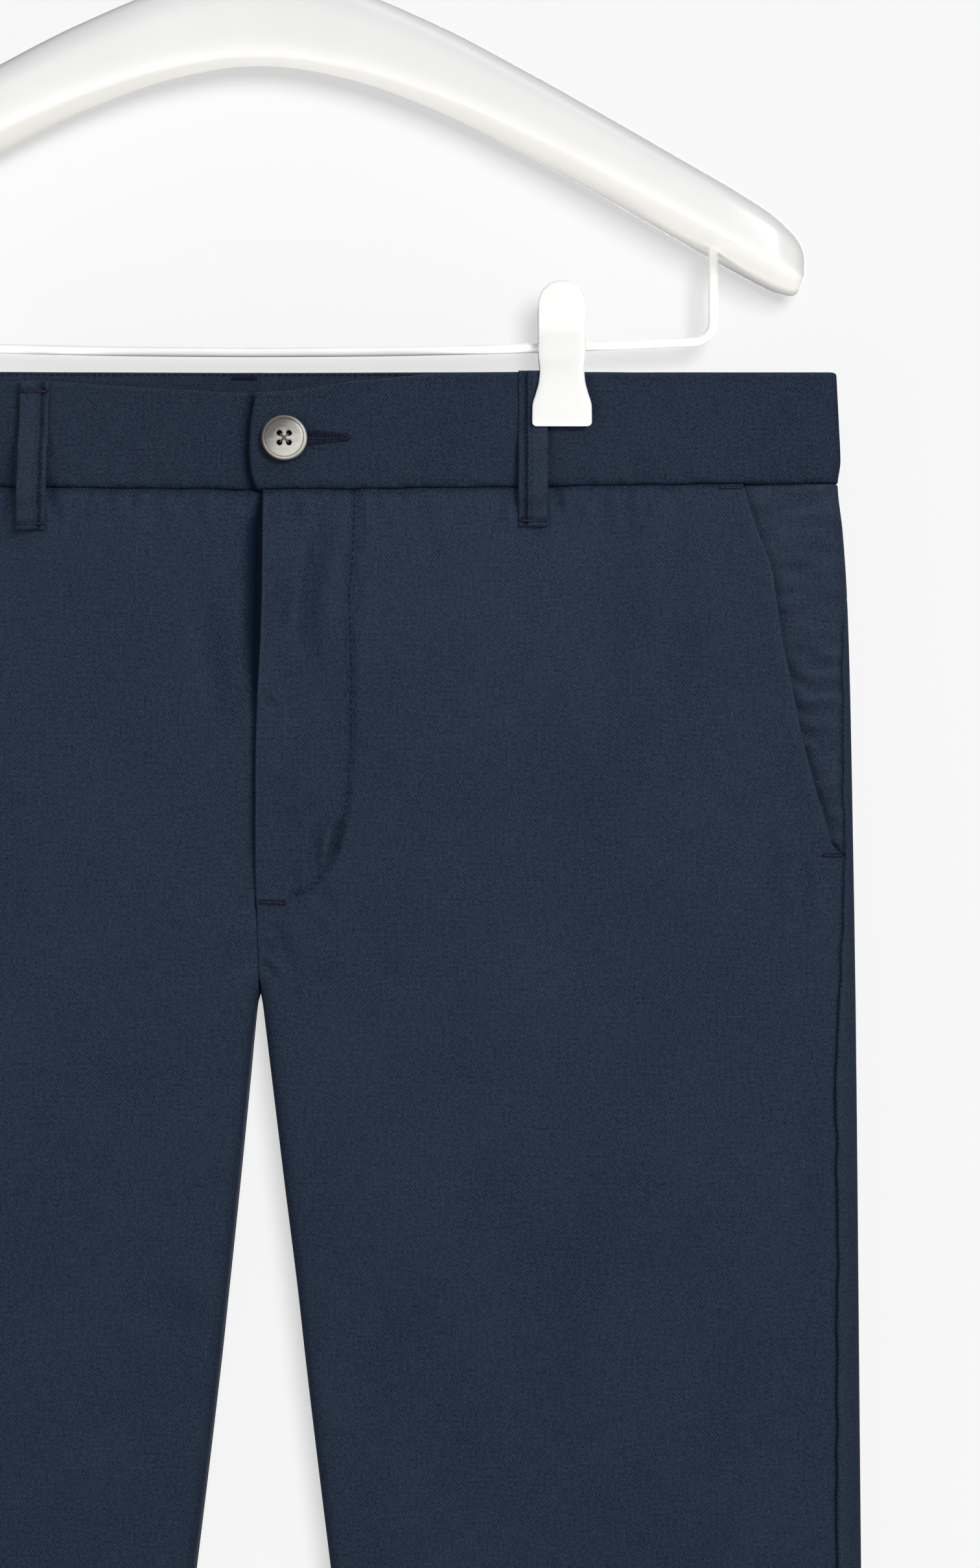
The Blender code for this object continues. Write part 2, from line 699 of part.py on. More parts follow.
def loop_lift(drop):
    """How far a loop stands off the cloth under it."""
    opened = ease((drop - LOOP["slot_top"]) / 7.0) * ease((LOOP["slot_bottom"] - drop) / 7.0)
    return SEAM + LOOP["slot"] * opened


def cloth_under(names, face, across, drop):
    """How far the outermost of the named pieces stands off the middle plane around a point."""
    reach, half = 2.5, LOOP["width"] / 2
    stands = []
    for name in names:
        mesh = bpy.data.objects[name].data
        tree = BVHTree.FromPolygons([v.co for v in mesh.vertices], [p.vertices for p in mesh.polygons])
        for dx in (-half, 0.0, half):
            for dz in (-reach, 0.0, reach):
                start = place(across + dx, face * 60.0, max(drop + dz, 0.5))
                hit = tree.ray_cast(start, Vector((0, -face, 0)))[0]
                if hit and hit.y * face > 0:
                    stands.append(abs(hit.y) / MM)
    return max(stands)


def make_loop(name, face, across, top, bottom, lean, material):
    half = LOOP["width"] / 2
    label = "left" if across > 0 else "right"
    under = ("waistband_" + label, ("front_" if face < 0 else "back_") + label)
    grids = [[], []]
    for share in LOOP_ROWS:
        drop = top + (bottom - top) * share
        middle = across + lean * share
        stand = cloth_under(under, face, middle, drop) + loop_lift(drop)
        for grid, thickness in zip(grids, (LOOP["cloth"], 0.0)):
            grid.append([place(middle + edge, face * (stand + thickness), drop)
                         for edge in (-half, half)])
    return wall(name, grids[0], grids[1], material)


# ---------------------------------------------------------------- button
def button_frame():
    """The point on the band's front under the button, and the way it faces."""
    x, drop = BUTTON["x"], BUTTON["drop"]
    step = BUTTON["radius"] / 2
    here = place(x, -stand_off(-1, x, drop), drop)
    aside = place(x + step, -stand_off(-1, x + step, drop), drop) - place(
        x - step, -stand_off(-1, x - step, drop), drop)
    outward = aside.cross(Vector((0, 0, 1))).normalized()
    return here, outward


def make_button(material):
    """A turned disc with a raised rim and a shallow well, bored with four holes."""
    radius, thick, rim = BUTTON["radius"], BUTTON["thick"], BUTTON["rim"]
    here, outward = button_frame()
    lift = 0.45
    profile = (
        # radius, height above the back
        (radius - 2.4, 0.0), (radius - 0.7, 0.5), (radius, 1.5), (radius - 0.25, thick - 0.5),
        (radius - rim / 2, thick), (radius - rim, thick - 0.35), (radius - rim - 0.6, thick - 0.5),
        (radius * 0.55, thick - BUTTON["well"]),
    )
    turn = Vector((0, 0, 1)).rotation_difference(outward)
    sides = 32
    rings = []
    for reach, height in profile:
        ring = []
        for k in range(sides):
            angle = 2.0 * math.pi * k / sides
            local = Vector((reach * math.cos(angle), reach * math.sin(angle), lift + height))
            ring.append(here + turn @ (local * MM))
        rings.append(ring)
    button = ringed("button", rings, material)
    half = BUTTON["holes"] / 2
    for dx in (-half, half):
        for dz in (-half, half):
            start = here + (Vector((dx, 0, dz)) - outward) * MM
            end = start + outward * 6.0 * MM
            apply_boolean(button, "DIFFERENCE", rod("drill", start, end, BUTTON["hole_radius"] * MM, 10))
    shade(button)
    return button


def make_shank(material):
    """The thread between the underlap and the button, through the buttonhole's eye."""
    here, outward = button_frame()
    start = here - outward * (BAND + 0.05 + 0.02) * MM
    end = here + outward * 0.15 * MM
    return rod("button_thread", start, end, BUTTON["shank"] * MM, 10, material)


def cut_buttonhole(band):
    here, outward = button_frame()
    eye = rod("eye", here - outward * (BAND + 0.1) * MM, here + outward * 2 * MM, BUTTON["eye"] * MM, 12)
    apply_boolean(band, "DIFFERENCE", eye)
    shade(band)


# ---------------------------------------------------------------- hanger
def make_arm(material):
    """One moulded arm from tip to tip, its underside sloping back, with sockets for the wires."""
    sides, boxy_top, boxy_bottom = 16, 2.6, 6.0
    rings = []
    for across in [-station for station in ARM_STATIONS[:0:-1]] + list(ARM_STATIONS):
        middle, height, depth = (read_table(ARM, column, abs(across)) for column in (1, 2, 3))
        ring = []
        for k in range(sides):
            angle = 2.0 * math.pi * (k + 0.5) / sides
            c, s = math.cos(angle), math.sin(angle)
            power = 2.0 / (boxy_top if s > 0 else boxy_bottom)
            y = depth / 2 * math.copysign(abs(c) ** power, c)
            z = height / 2 * math.copysign(abs(s) ** power, s)
            if s < 0:
                z -= ARM_TILT * (y / depth + 0.5) * min(1.0, depth / 30.0)
            ring.append(place(across, y, -middle - z))
        rings.append(ring)
    arm = ringed("hanger_arm", rings, material)
    clear = SEAM
    for side in (-1, 1):
        start = place(side * BAR["half"], 0.0, -BAR["top"] - clear)
        end = place(side * BAR["half"], 0.0, -BAR["top"] + 30.0)
        apply_boolean(arm, "DIFFERENCE", rod("socket", start, end, (BAR["wire"] + clear) * MM, 12))
    start = place(0.0, 0.0, -HOOK["stem_bottom"] + clear)
    end = place(0.0, 0.0, -HOOK["stem_bottom"] - 40.0)
    apply_boolean(arm, "DIFFERENCE", rod("socket", start, end, (HOOK["wire"] + clear) * MM, 12))
    shade(arm)
    return arm


def make_bar(material):
    """The wire bar: down from one arm's end, round a bend, across and up to the other."""
    half, bend, low = BAR["half"], BAR["bend"], BAR["middle"]
    run = half - bend

    def sag(x):
        return low + BAR["rise"] * (x / run) ** 2

    path = []
    for side in (-1, 1):
        corner = []
        corner.append(place(side * half, 0.0, -BAR["top"]))
        centre_up = sag(run) + bend
        for degrees in range(0, 91, 15):
            angle = math.radians(degrees)
            x = side * (run + bend * math.cos(angle))
            corner.append(place(x, 0.0, -(centre_up - bend * math.sin(angle))))
        path.append(corner)
    steps = 14
    middle = [-run + 2.0 * run * k / steps for k in range(1, steps)]
    across = [place(x, 0.0, -sag(x)) for x in middle]
    return tube("hanger_bar", path[0] + across + path[1][::-1], BAR["wire"] * MM, 10, material)


def make_hook(material):
    """The hook: stem up from the arm, round the rail and down to its open end."""
    wire = HOOK["wire"]
    turn_radius = HOOK["inside"] + wire
    centre = Vector((0.0, 0.0, -HOOK["inside"] * MM))
    arc = []
    steps = 20
    for k in range(steps + 1):
        degrees = HOOK["turn"] + (HOOK["open_to"] - HOOK["turn"]) * k / steps
        angle = math.radians(degrees)
        arc.append(centre + turn_radius * MM * Vector((math.cos(angle), 0.0, math.sin(angle))))
    first = arc[0]
    stem_top = Vector((0.0, 0.0, first.z - 0.014))
    leaving = math.radians(HOOK["turn"] - 90.0)
    handle = first + 0.011 * Vector((math.cos(leaving), 0.0, math.sin(leaving)))
    joint = stem_top + Vector((0.0, 0.0, 0.009))
    neck = []
    for k in range(1, 9):
        t = k / 9.0
        neck.append((1 - t) ** 3 * stem_top + 3 * (1 - t) ** 2 * t * joint
                    + 3 * (1 - t) * t ** 2 * handle + t ** 3 * first)
    bottom = place(0.0, 0.0, -HOOK["stem_bottom"])
    return tube("hanger_hook", [bottom, stem_top] + neck + arc, wire * MM, 12, material)


def bar_height(across):
    run = BAR["half"] - BAR["bend"]
    return BAR["middle"] + BAR["rise"] * (across / run) ** 2


def make_jaw(name, centre, face, knuckles, grip, material):
    """One jaw: a waisted plate with a grip along its tip and knuckles round the bar."""
    rings = []
    for up, half_width, inner, thick in JAW:
        ring = []
        for k in range(12):
            angle = 2.0 * math.pi * (k + 0.5) / 12
            c, s = math.cos(angle), math.sin(angle)
            x = half_width * math.copysign(abs(c) ** 0.3, c)
            y = inner + thick / 2 + thick / 2 * math.copysign(abs(s) ** 0.55, s)
            ring.append(place(centre + x, face * y, -up))
        rings.append(ring)
    jaw = ringed(name, rings, material)
    low, high = sorted((face * GRIP["inner"], face * (JAW[1][2] + GRIP["sunk"])))
    pad = block("grip", (centre + grip[0], low, GRIP["bottom"] - WAIST_DROP),
                (centre + grip[1], high, GRIP["top"] - WAIST_DROP))
    apply_boolean(jaw, "UNION", pad)
    up = bar_height(centre)
    for start, end in knuckles:
        for side in (-1, 1):
            ends = sorted((side * start, side * end))
            ring = rod("knuckle", place(centre + ends[0], 0.0, -up), place(centre + ends[1], 0.0, -up),
                       KNUCKLE["outer"] * MM, 14)
            low, high = sorted((0.0, face * KNUCKLE["web_end"]))
            web = block("web",
                        (centre + ends[0] + KNUCKLE["inset"], low, up - KNUCKLE["web"] - WAIST_DROP),
                        (centre + ends[1] - KNUCKLE["inset"], high, up + KNUCKLE["web"] - WAIST_DROP))
            apply_boolean(ring, "UNION", web)
            apply_boolean(jaw, "UNION", ring)
    bore = rod("bore", place(centre - 12, 0.0, -up), place(centre + 12, 0.0, -up),
               KNUCKLE["inner"] * MM, 14)
    apply_boolean(jaw, "DIFFERENCE", bore)
    shade(jaw)
    return jaw


def make_clip(label, side, plastic, steel):
    centre = side * CLIP_X
    # The left loop lies under part of the left front jaw, so its grip starts beside the loop.
    front_grip = (-3.4, 10.2) if side > 0 else (-10.2, 10.2)
    make_jaw("clip_%s_front" % label, centre, -1, ((5.6, 8.3),), front_grip, plastic)
    make_jaw("clip_%s_back" % label, centre, 1, ((2.9, 5.2),), (-10.2, 10.2), plastic)
    up = bar_height(centre)
    sleeve = rod("clip_%s_spring" % label, place(centre - 2.5, 0.0, -up), place(centre + 2.5, 0.0, -up),
                 KNUCKLE["sleeve"] * MM, 14, steel)
    bore = rod("bore", place(centre - 9, 0.0, -up), place(centre + 9, 0.0, -up),
               KNUCKLE["inner"] * MM, 14)
    apply_boolean(sleeve, "DIFFERENCE", bore)
    shade(sleeve)


# ---------------------------------------------------------------- the whole
def main():
    clear_scene()
    cloth = make_material("navy_twill", (0.021, 0.032, 0.056), 0.85)
    band_cloth = make_material("navy_twill_band", (0.021, 0.031, 0.054), 0.85)
    tape = make_material("zip_tape", (0.012, 0.016, 0.03), 0.8)
    horn = make_material("button_horn", (0.5, 0.49, 0.45), 0.3)
    thread = make_material("button_thread", (0.05, 0.03, 0.03), 0.8)
    white = make_material("white_plastic", (0.88, 0.87, 0.85), 0.35)
    wire = make_material("white_wire", (0.86, 0.87, 0.85), 0.35)
    steel = make_material("steel", (0.6, 0.6, 0.6), 0.3, 1.0)

    for label, side in (("left", 1), ("right", -1)):
        make_front("front_" + label, side, cloth)
        make_back("back_" + label, side, cloth)
        make_facing("pocket_facing_" + label, side, cloth)
        band = make_waistband("waistband_" + label, side, band_cloth)
        if side > 0:
            cut_buttonhole(band)
        make_clip(label, side, white, steel)
    make_zip(tape)
    make_shield(cloth)
    for name, face, across, top, bottom, lean in LOOPS:
        make_loop(name, face, across, top, bottom, lean, band_cloth)
    make_button(horn)
    make_shank(thread)
    make_arm(white)
    make_bar(wire)
    make_hook(steel)


main()
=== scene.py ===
"""The looks of the bermuda shorts on their clip hanger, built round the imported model.

The scene is in metres, in the model's frame: +Z up, +X to the wearer's left, and the front
faces -Y. A place on the garment is given in millimetres: across from the middle, drop below
the waist's top edge, and depth behind the middle plane.
"""
import json
import math

import bmesh
import bpy
import numpy as np
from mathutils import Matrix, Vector

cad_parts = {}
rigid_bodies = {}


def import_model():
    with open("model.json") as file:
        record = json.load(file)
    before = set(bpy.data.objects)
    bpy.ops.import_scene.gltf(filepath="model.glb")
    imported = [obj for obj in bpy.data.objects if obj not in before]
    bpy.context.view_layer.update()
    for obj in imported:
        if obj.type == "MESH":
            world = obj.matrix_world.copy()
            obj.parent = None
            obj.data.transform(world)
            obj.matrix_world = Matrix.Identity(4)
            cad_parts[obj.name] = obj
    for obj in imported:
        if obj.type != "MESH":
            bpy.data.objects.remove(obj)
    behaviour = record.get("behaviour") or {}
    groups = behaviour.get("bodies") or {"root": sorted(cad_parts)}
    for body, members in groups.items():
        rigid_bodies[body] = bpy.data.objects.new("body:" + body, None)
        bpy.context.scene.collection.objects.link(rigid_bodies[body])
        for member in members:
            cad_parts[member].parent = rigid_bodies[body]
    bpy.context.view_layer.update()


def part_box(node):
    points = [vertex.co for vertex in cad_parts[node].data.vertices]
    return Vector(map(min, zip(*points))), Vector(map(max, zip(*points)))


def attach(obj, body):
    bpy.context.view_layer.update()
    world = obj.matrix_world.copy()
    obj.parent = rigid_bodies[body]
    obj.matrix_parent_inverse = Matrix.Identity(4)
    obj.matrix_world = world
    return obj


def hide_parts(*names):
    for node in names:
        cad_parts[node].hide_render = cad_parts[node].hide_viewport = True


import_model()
MM = 0.001

# ---------------------------------------------------------------- sizes from the frame
WAIST_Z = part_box("waistband_left")[1].z
SOLID_DIP = 2.7     # the solid's waistband ends this far below its height at the sides


def lowest(node):
    """How far below the waist's top edge a node's solid ends, in mm."""
    return round((WAIST_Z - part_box(node)[0].z) / MM, 1)


LEG_END = lowest("front_left")
BAND_HEIGHT = lowest("waistband_left") - SOLID_DIP

# ---------------------------------------------------------------- sizes, mm, near the solids'
CLOTH = 1.4                 # wall of the turned and pressed cloth
BAND = 2.4                  # waistband, two layers and their interfacing
BAND_DIP = 2.6              # how much lower its seam lies at the centre front
BAND_DIP_REACH = 95.0       # and how far to each side the dip fades
BAND_RISE = 0.75            # the waistband's edge stands this far above its solid's
BACK_RISE = 0.45            # and its back this much more
EDGE = -0.02                # sewn edges meet: each runs this little past the seam
CROTCH = 227.0              # waist's top edge down to the crotch point
HEM = 32.0                  # height of the turned hem
INSEAM_FOLD = 12.0          # how far in the rounding along an inseam reaches
CLIP_X = 112.0              # each clip's distance from the middle
SIDE_FOLD = 12.0            # mm round the side's fold for a turn of 1, about

# Sections down the garment: half its width, how far in the rounding at the side reaches, how
# far the front and the back stand off the middle plane, how much more each bulges between the
# clips, how much less it stands under a clip, and how much each leg crowns.
SECTIONS = (
    # drop, width, fold, front, back, front_bulge, back_bulge, pinch, crown
    (0.0, 213.5, 3.4, 3.4, 3.4, 8.2, 2.4, 0.65, 0.0),
    (20.0, 214.5, 3.8, 4.2, 4.2, 7.8, 2.4, 1.45, 0.0),
    (32.0, 215.0, 4.3, 4.9, 4.9, 7.4, 2.4, 1.9, 0.0),
    (40.5, 214.0, 4.6, 5.4, 5.4, 7.0, 2.4, 2.3, 0.0),
    (58.0, 215.8, 6.0, 7.0, 6.8, 6.2, 2.2, 2.8, 0.0),
    (80.0, 217.3, 8.0, 8.6, 8.2, 5.0, 2.0, 2.7, 0.2),
    (115.0, 218.5, 10.0, 10.0, 9.6, 3.2, 1.5, 1.9, 0.6),
    (160.0, 219.4, 11.0, 10.8, 10.6, 1.4, 0.8, 1.0, 1.3),
    (227.0, 220.5, 12.0, 11.0, 11.0, 0.0, 0.0, 0.4, 2.2),
    (300.0, 221.3, 12.0, 11.0, 11.0, 0.0, 0.0, 0.0, 2.6),
    (380.0, 222.0, 12.0, 11.2, 11.2, 0.0, 0.0, 0.0, 2.6),
    (495.0, 223.1, 12.0, 11.6, 11.6, 0.0, 0.0, 0.0, 2.6),
)
SECTION_COLUMNS = ("drop", "width", "fold", "front", "back", "front_bulge", "back_bulge",
                   "pinch", "crown")
BULGE_REACH = 98.0          # the bulge ends this far either side of the middle
PINCH_FLAT = 13.0           # half the stretch that a clip holds flat
PINCH_FADE = 24.0           # how far beyond it the pinch fades

# Where the line between the legs lies, and half the gap between them.
GAP = (
    # drop, middle, half_gap
    (0.0, 0.0, 0.0), (120.0, 0.3, 0.0), (227.0, 1.0, 0.0), (232.0, 0.75, 1.0), (240.0, 0.8, 1.95),
    (260.0, 1.06, 4.1), (300.0, 1.5, 8.5), (340.0, 1.9, 13.1), (363.0, 1.95, 15.6),
    (495.0, 2.0, 31.7),
)

# The front waist's top edge: how far it lies below the back's.
FRONT_TOP = (
    # across, drop
    (-213.0, 0.0), (-150.0, 1.0), (-94.0, 3.3), (-76.0, 3.7), (-48.0, 5.8), (-25.0, 7.1),
    (0.0, 7.5), (18.0, 6.4), (32.0, 4.4), (48.0, 2.7), (70.0, 0.4), (90.0, 0.0), (213.0, 0.0),
)

# The fly's free edge, then the centre front seam below it.
FLY_EDGE = (
    # drop, across
    (42.0, 2.4), (70.0, 2.2), (94.0, 1.7), (115.0, 0.6), (140.0, -0.3), (175.0, -0.5),
    (206.0, 0.2), (227.0, 1.1),
)
FLY_BOTTOM = 190.0          # the free edge ends here
UNDERLAP = 3.0              # how far past the middle the right front runs under the fly
VALLEY_OUTER = -16.0        # the right front begins to sink here, towards the fly
VALLEY_INNER = -6.0         # and has sunk all the way here

# How deep the right front lies under the fly.
FLY_DEPTH = (
    # drop, depth
    (42.0, 2.6), (60.0, 3.3), (100.0, 3.4), (118.0, 2.6), (135.0, 2.0), (185.0, 1.8),
    (193.0, 1.75), (203.0, 0.0),
)

# The overlap's end on the waistband.
BAND_EDGE = (
    # drop, across
    (0.0, -0.2), (8.0, -0.5), (17.0, -2.0), (28.0, -2.7), (36.0, -2.1), (44.0, 0.4),
)
BAND_UNDERLAP = 34.0        # where the band's right half begins, to the right of the middle

# The left pocket's mouth; the right one mirrors it.
MOUTH = (
    # drop, across
    (40.0, 178.6), (50.0, 181.4), (58.0, 184.0), (72.0, 189.0), (87.0, 191.2), (101.0, 193.3),
    (111.0, 195.5), (132.0, 199.5), (141.0, 201.7), (152.0, 204.6), (164.0, 208.3), (173.0, 210.7),
)
MOUTH_BOTTOM = 178.0

# The side seams.
SIDE_SEAM = (
    # drop, reach in from the fold's tip
    (40.0, 0.0), (82.0, 0.0), (93.0, 1.9), (110.0, 3.0), (150.0, 3.7), (180.0, 3.8),
    (200.0, 4.8), (235.0, 7.2), (268.0, 8.8), (310.0, 8.5), (345.0, 9.0), (495.0, 10.8),
)
FACING_BOTTOM = 188.0

# Long soft folds; each fades in from its top and out to its bottom.
FOLD_START = 40.0
FOLD_END = 60.0
FOLDS = (
    # side, face, across, top, bottom, half_width, depth
    (1, -1, 172.0, 50.0, 190.0, 15.0, 0.9),
    (1, -1, 140.0, 60.0, 250.0, 11.0, -0.5),
    (1, -1, 112.0, 110.0, 320.0, 16.0, 0.8),
    (1, -1, 60.0, 230.0, 420.0, 22.0, 0.7),
    (1, -1, 196.0, 240.0, 495.0, 12.0, 0.7),
    (-1, -1, 168.0, 55.0, 200.0, 17.0, 0.9),
    (-1, -1, 104.0, 100.0, 300.0, 15.0, 0.9),
    (-1, -1, 52.0, 250.0, 440.0, 20.0, 0.8),
    (-1, -1, 190.0, 260.0, 495.0, 13.0, 0.6),
    (1, 1, 150.0, 60.0, 240.0, 18.0, 1.2),
    (1, 1, 70.0, 90.0, 330.0, 20.0, 1.1),
    (1, 1, 175.0, 260.0, 480.0, 16.0, 0.8),
    (-1, 1, 140.0, 70.0, 260.0, 17.0, 1.2),
    (-1, 1, 62.0, 110.0, 350.0, 22.0, 1.0),
    (-1, 1, 180.0, 240.0, 470.0, 15.0, 0.9),
)
LOOPS = (
    # node, face, across, top, bottom, lean, folded edge, stitches, top bartack
    ("belt_loop_front_left", -1, 101.4, -1.2, 56.4, 0.0, -2.2, -1.0, 0.0),
    ("belt_loop_front_right", -1, -82.0, 2.8, 57.8, -1.3, 2.4, 1.2, 6.7),
    ("belt_loop_back_left", 1, 146.0, -0.4, 56.8, 0.0, 1.6, 0.7, 6.4),
    ("belt_loop_back_right", 1, -146.0, -0.4, 56.8, 0.0, 1.6, 0.7, 6.4),
    ("belt_loop_center_back", 1, -3.0, -0.4, 56.8, 0.0, 1.6, 0.7, 6.4),
)

# Bars of stitches on the fronts, from start to end, on the left (1) or the right (-1).
BARTACKS = (
    # side, start, end, height, thread's radius
    (1, (1.2, 194.4), (10.4, 194.8), 2.3, 0.18),
    (1, (207.3, 177.3), (214.9, 177.6), 1.8, 0.17),
    (1, (169.8, 42.3), (178.4, 42.1), 1.3, 0.17),
    (-1, (207.3, 177.3), (214.9, 177.6), 1.8, 0.17),
    (-1, (169.8, 42.3), (178.4, 42.1), 1.3, 0.17),
)
LOOP = {"width": 10.8, "cloth": 1.5, "slot": 2.2, "slot_top": 21.0, "slot_bottom": 51.0}
BUTTON = {"x": 10.2, "drop": 24.6, "radius": 8.35, "holes": 3.5, "hole_radius": 1.05,
          "lift": 0.45}
ZIP = {"from": 4.0, "to": 27.0, "teeth_from": 8.0, "teeth_to": 12.0, "tape": 0.9}
SHIELD = {"from": -9.0, "to": 34.0}
HOOK = {"wire": 2.0, "inside": 19.0, "open_to": 208.0, "turn": -38.0, "stem_bottom": 134.0}
COLLAR = (
    # up, radius
    (149.0, 2.6), (149.6, 3.5), (151.2, 3.6), (152.0, 3.3), (152.4, 2.2),
)
BAR = {"wire": 1.75, "half": 168.0, "bend": 7.5, "middle": 8.3, "rise": 3.9, "top": 52.0}
ARM = (
    # across, middle, height, depth
    (0.0, 133.0, 33.0, 17.0), (6.0, 132.8, 32.9, 17.1), (30.0, 128.2, 31.0, 19.0),
    (65.0, 115.4, 28.0, 24.0), (100.0, 98.0, 26.0, 31.0), (130.0, 81.5, 25.0, 37.0),
    (155.0, 67.2, 24.5, 42.0), (175.0, 55.8, 24.0, 45.0), (188.0, 48.2, 22.6, 44.0),
    (196.0, 43.2, 19.0, 36.0), (200.0, 40.6, 14.0, 26.0), (201.6, 39.4, 7.0, 13.0),
)
ARM_TILT = 3.2
JAW = (
    # up, half_width, inner, thick
    (-19.5, 10.95, 5.1, 1.5), (-18.6, 11.0, 5.1, 2.2), (-12.0, 10.9, 5.1, 2.4),
    (-8.0, 9.8, 5.1, 2.5), (-3.0, 8.5, 5.0, 2.6), (1.5, 8.15, 4.8, 2.6), (6.0, 8.6, 4.4, 2.6),
    (14.0, 8.75, 4.4, 2.4), (25.0, 8.75, 6.8, 2.1), (29.4, 7.58, 7.8, 2.0),
    (32.6, 4.38, 8.5, 1.9), (33.7, 1.2, 8.7, 1.6),
)
GRIP = {"bottom": -18.1, "top": -14.3, "inner": 3.1, "outer": 5.8}
KNUCKLE = {"outer": 3.7, "inner": 2.1, "web": 2.6, "web_end": 5.3, "inset": 0.3}


# ---------------------------------------------------------------- curves and tables
def ease(share):
    share = np.clip(share, 0.0, 1.0)
    return share * share * (3.0 - 2.0 * share)


def read(table, column, at):
    """Values on a smooth curve, with no overshoot, through a column of a table."""
    rows = np.array(table, float)
    places, values = rows[:, 0], rows[:, column]
    at = np.clip(np.asarray(at, float), places[0], places[-1])
    low = np.clip(np.searchsorted(places, at, side="right") - 1, 0, len(places) - 2)
    spans = np.diff(places)
    slopes = np.diff(values) / spans
    before, after = slopes[:-1], slopes[1:]
    turning = before * after <= 0.0
    total = np.where(turning, 1.0, before + after)
    inner = np.where(turning, 0.0, 2.0 * before * after / total)
    tangents = np.concatenate(([slopes[0]], inner, [slopes[-1]]))
    t = (at - places[low]) / spans[low]
    rise = values[low + 1] - values[low]
    start, end = tangents[low] * spans[low], tangents[low + 1] * spans[low]
    return (values[low] + start * t + (3.0 * rise - 2.0 * start - end) * t ** 2
            + (start + end - 2.0 * rise) * t ** 3)


def section(name, drop):
    return read(SECTIONS, SECTION_COLUMNS.index(name), drop)


def rounding(share, power=2.0):
    """Quarter of an ellipse, or a squarer curve: 0 at the edge, 1 from a share of 1 inwards."""
    return (1.0 - (1.0 - np.clip(share, 0.0, 1.0)) ** power) ** (1.0 / power)


def place(across, depth, drop):
    """Points in metres from places on the garment in millimetres."""
    across, depth, drop = np.broadcast_arrays(across, depth, drop)
    return np.stack((across * MM, depth * MM, WAIST_Z - drop * MM), axis=-1)


def bell(distance, half_width):
    return np.exp(-(distance / half_width) ** 2)


AXES = np.eye(3)


def around(count):
    """Angles evenly round a full turn."""
    return np.arange(count) * 2.0 * math.pi / count


def circle(centre, radius, first, second, angles):
    """Points on a circle in the plane of two axes."""
    return [centre + radius * (math.cos(a) * first + math.sin(a) * second) for a in angles]


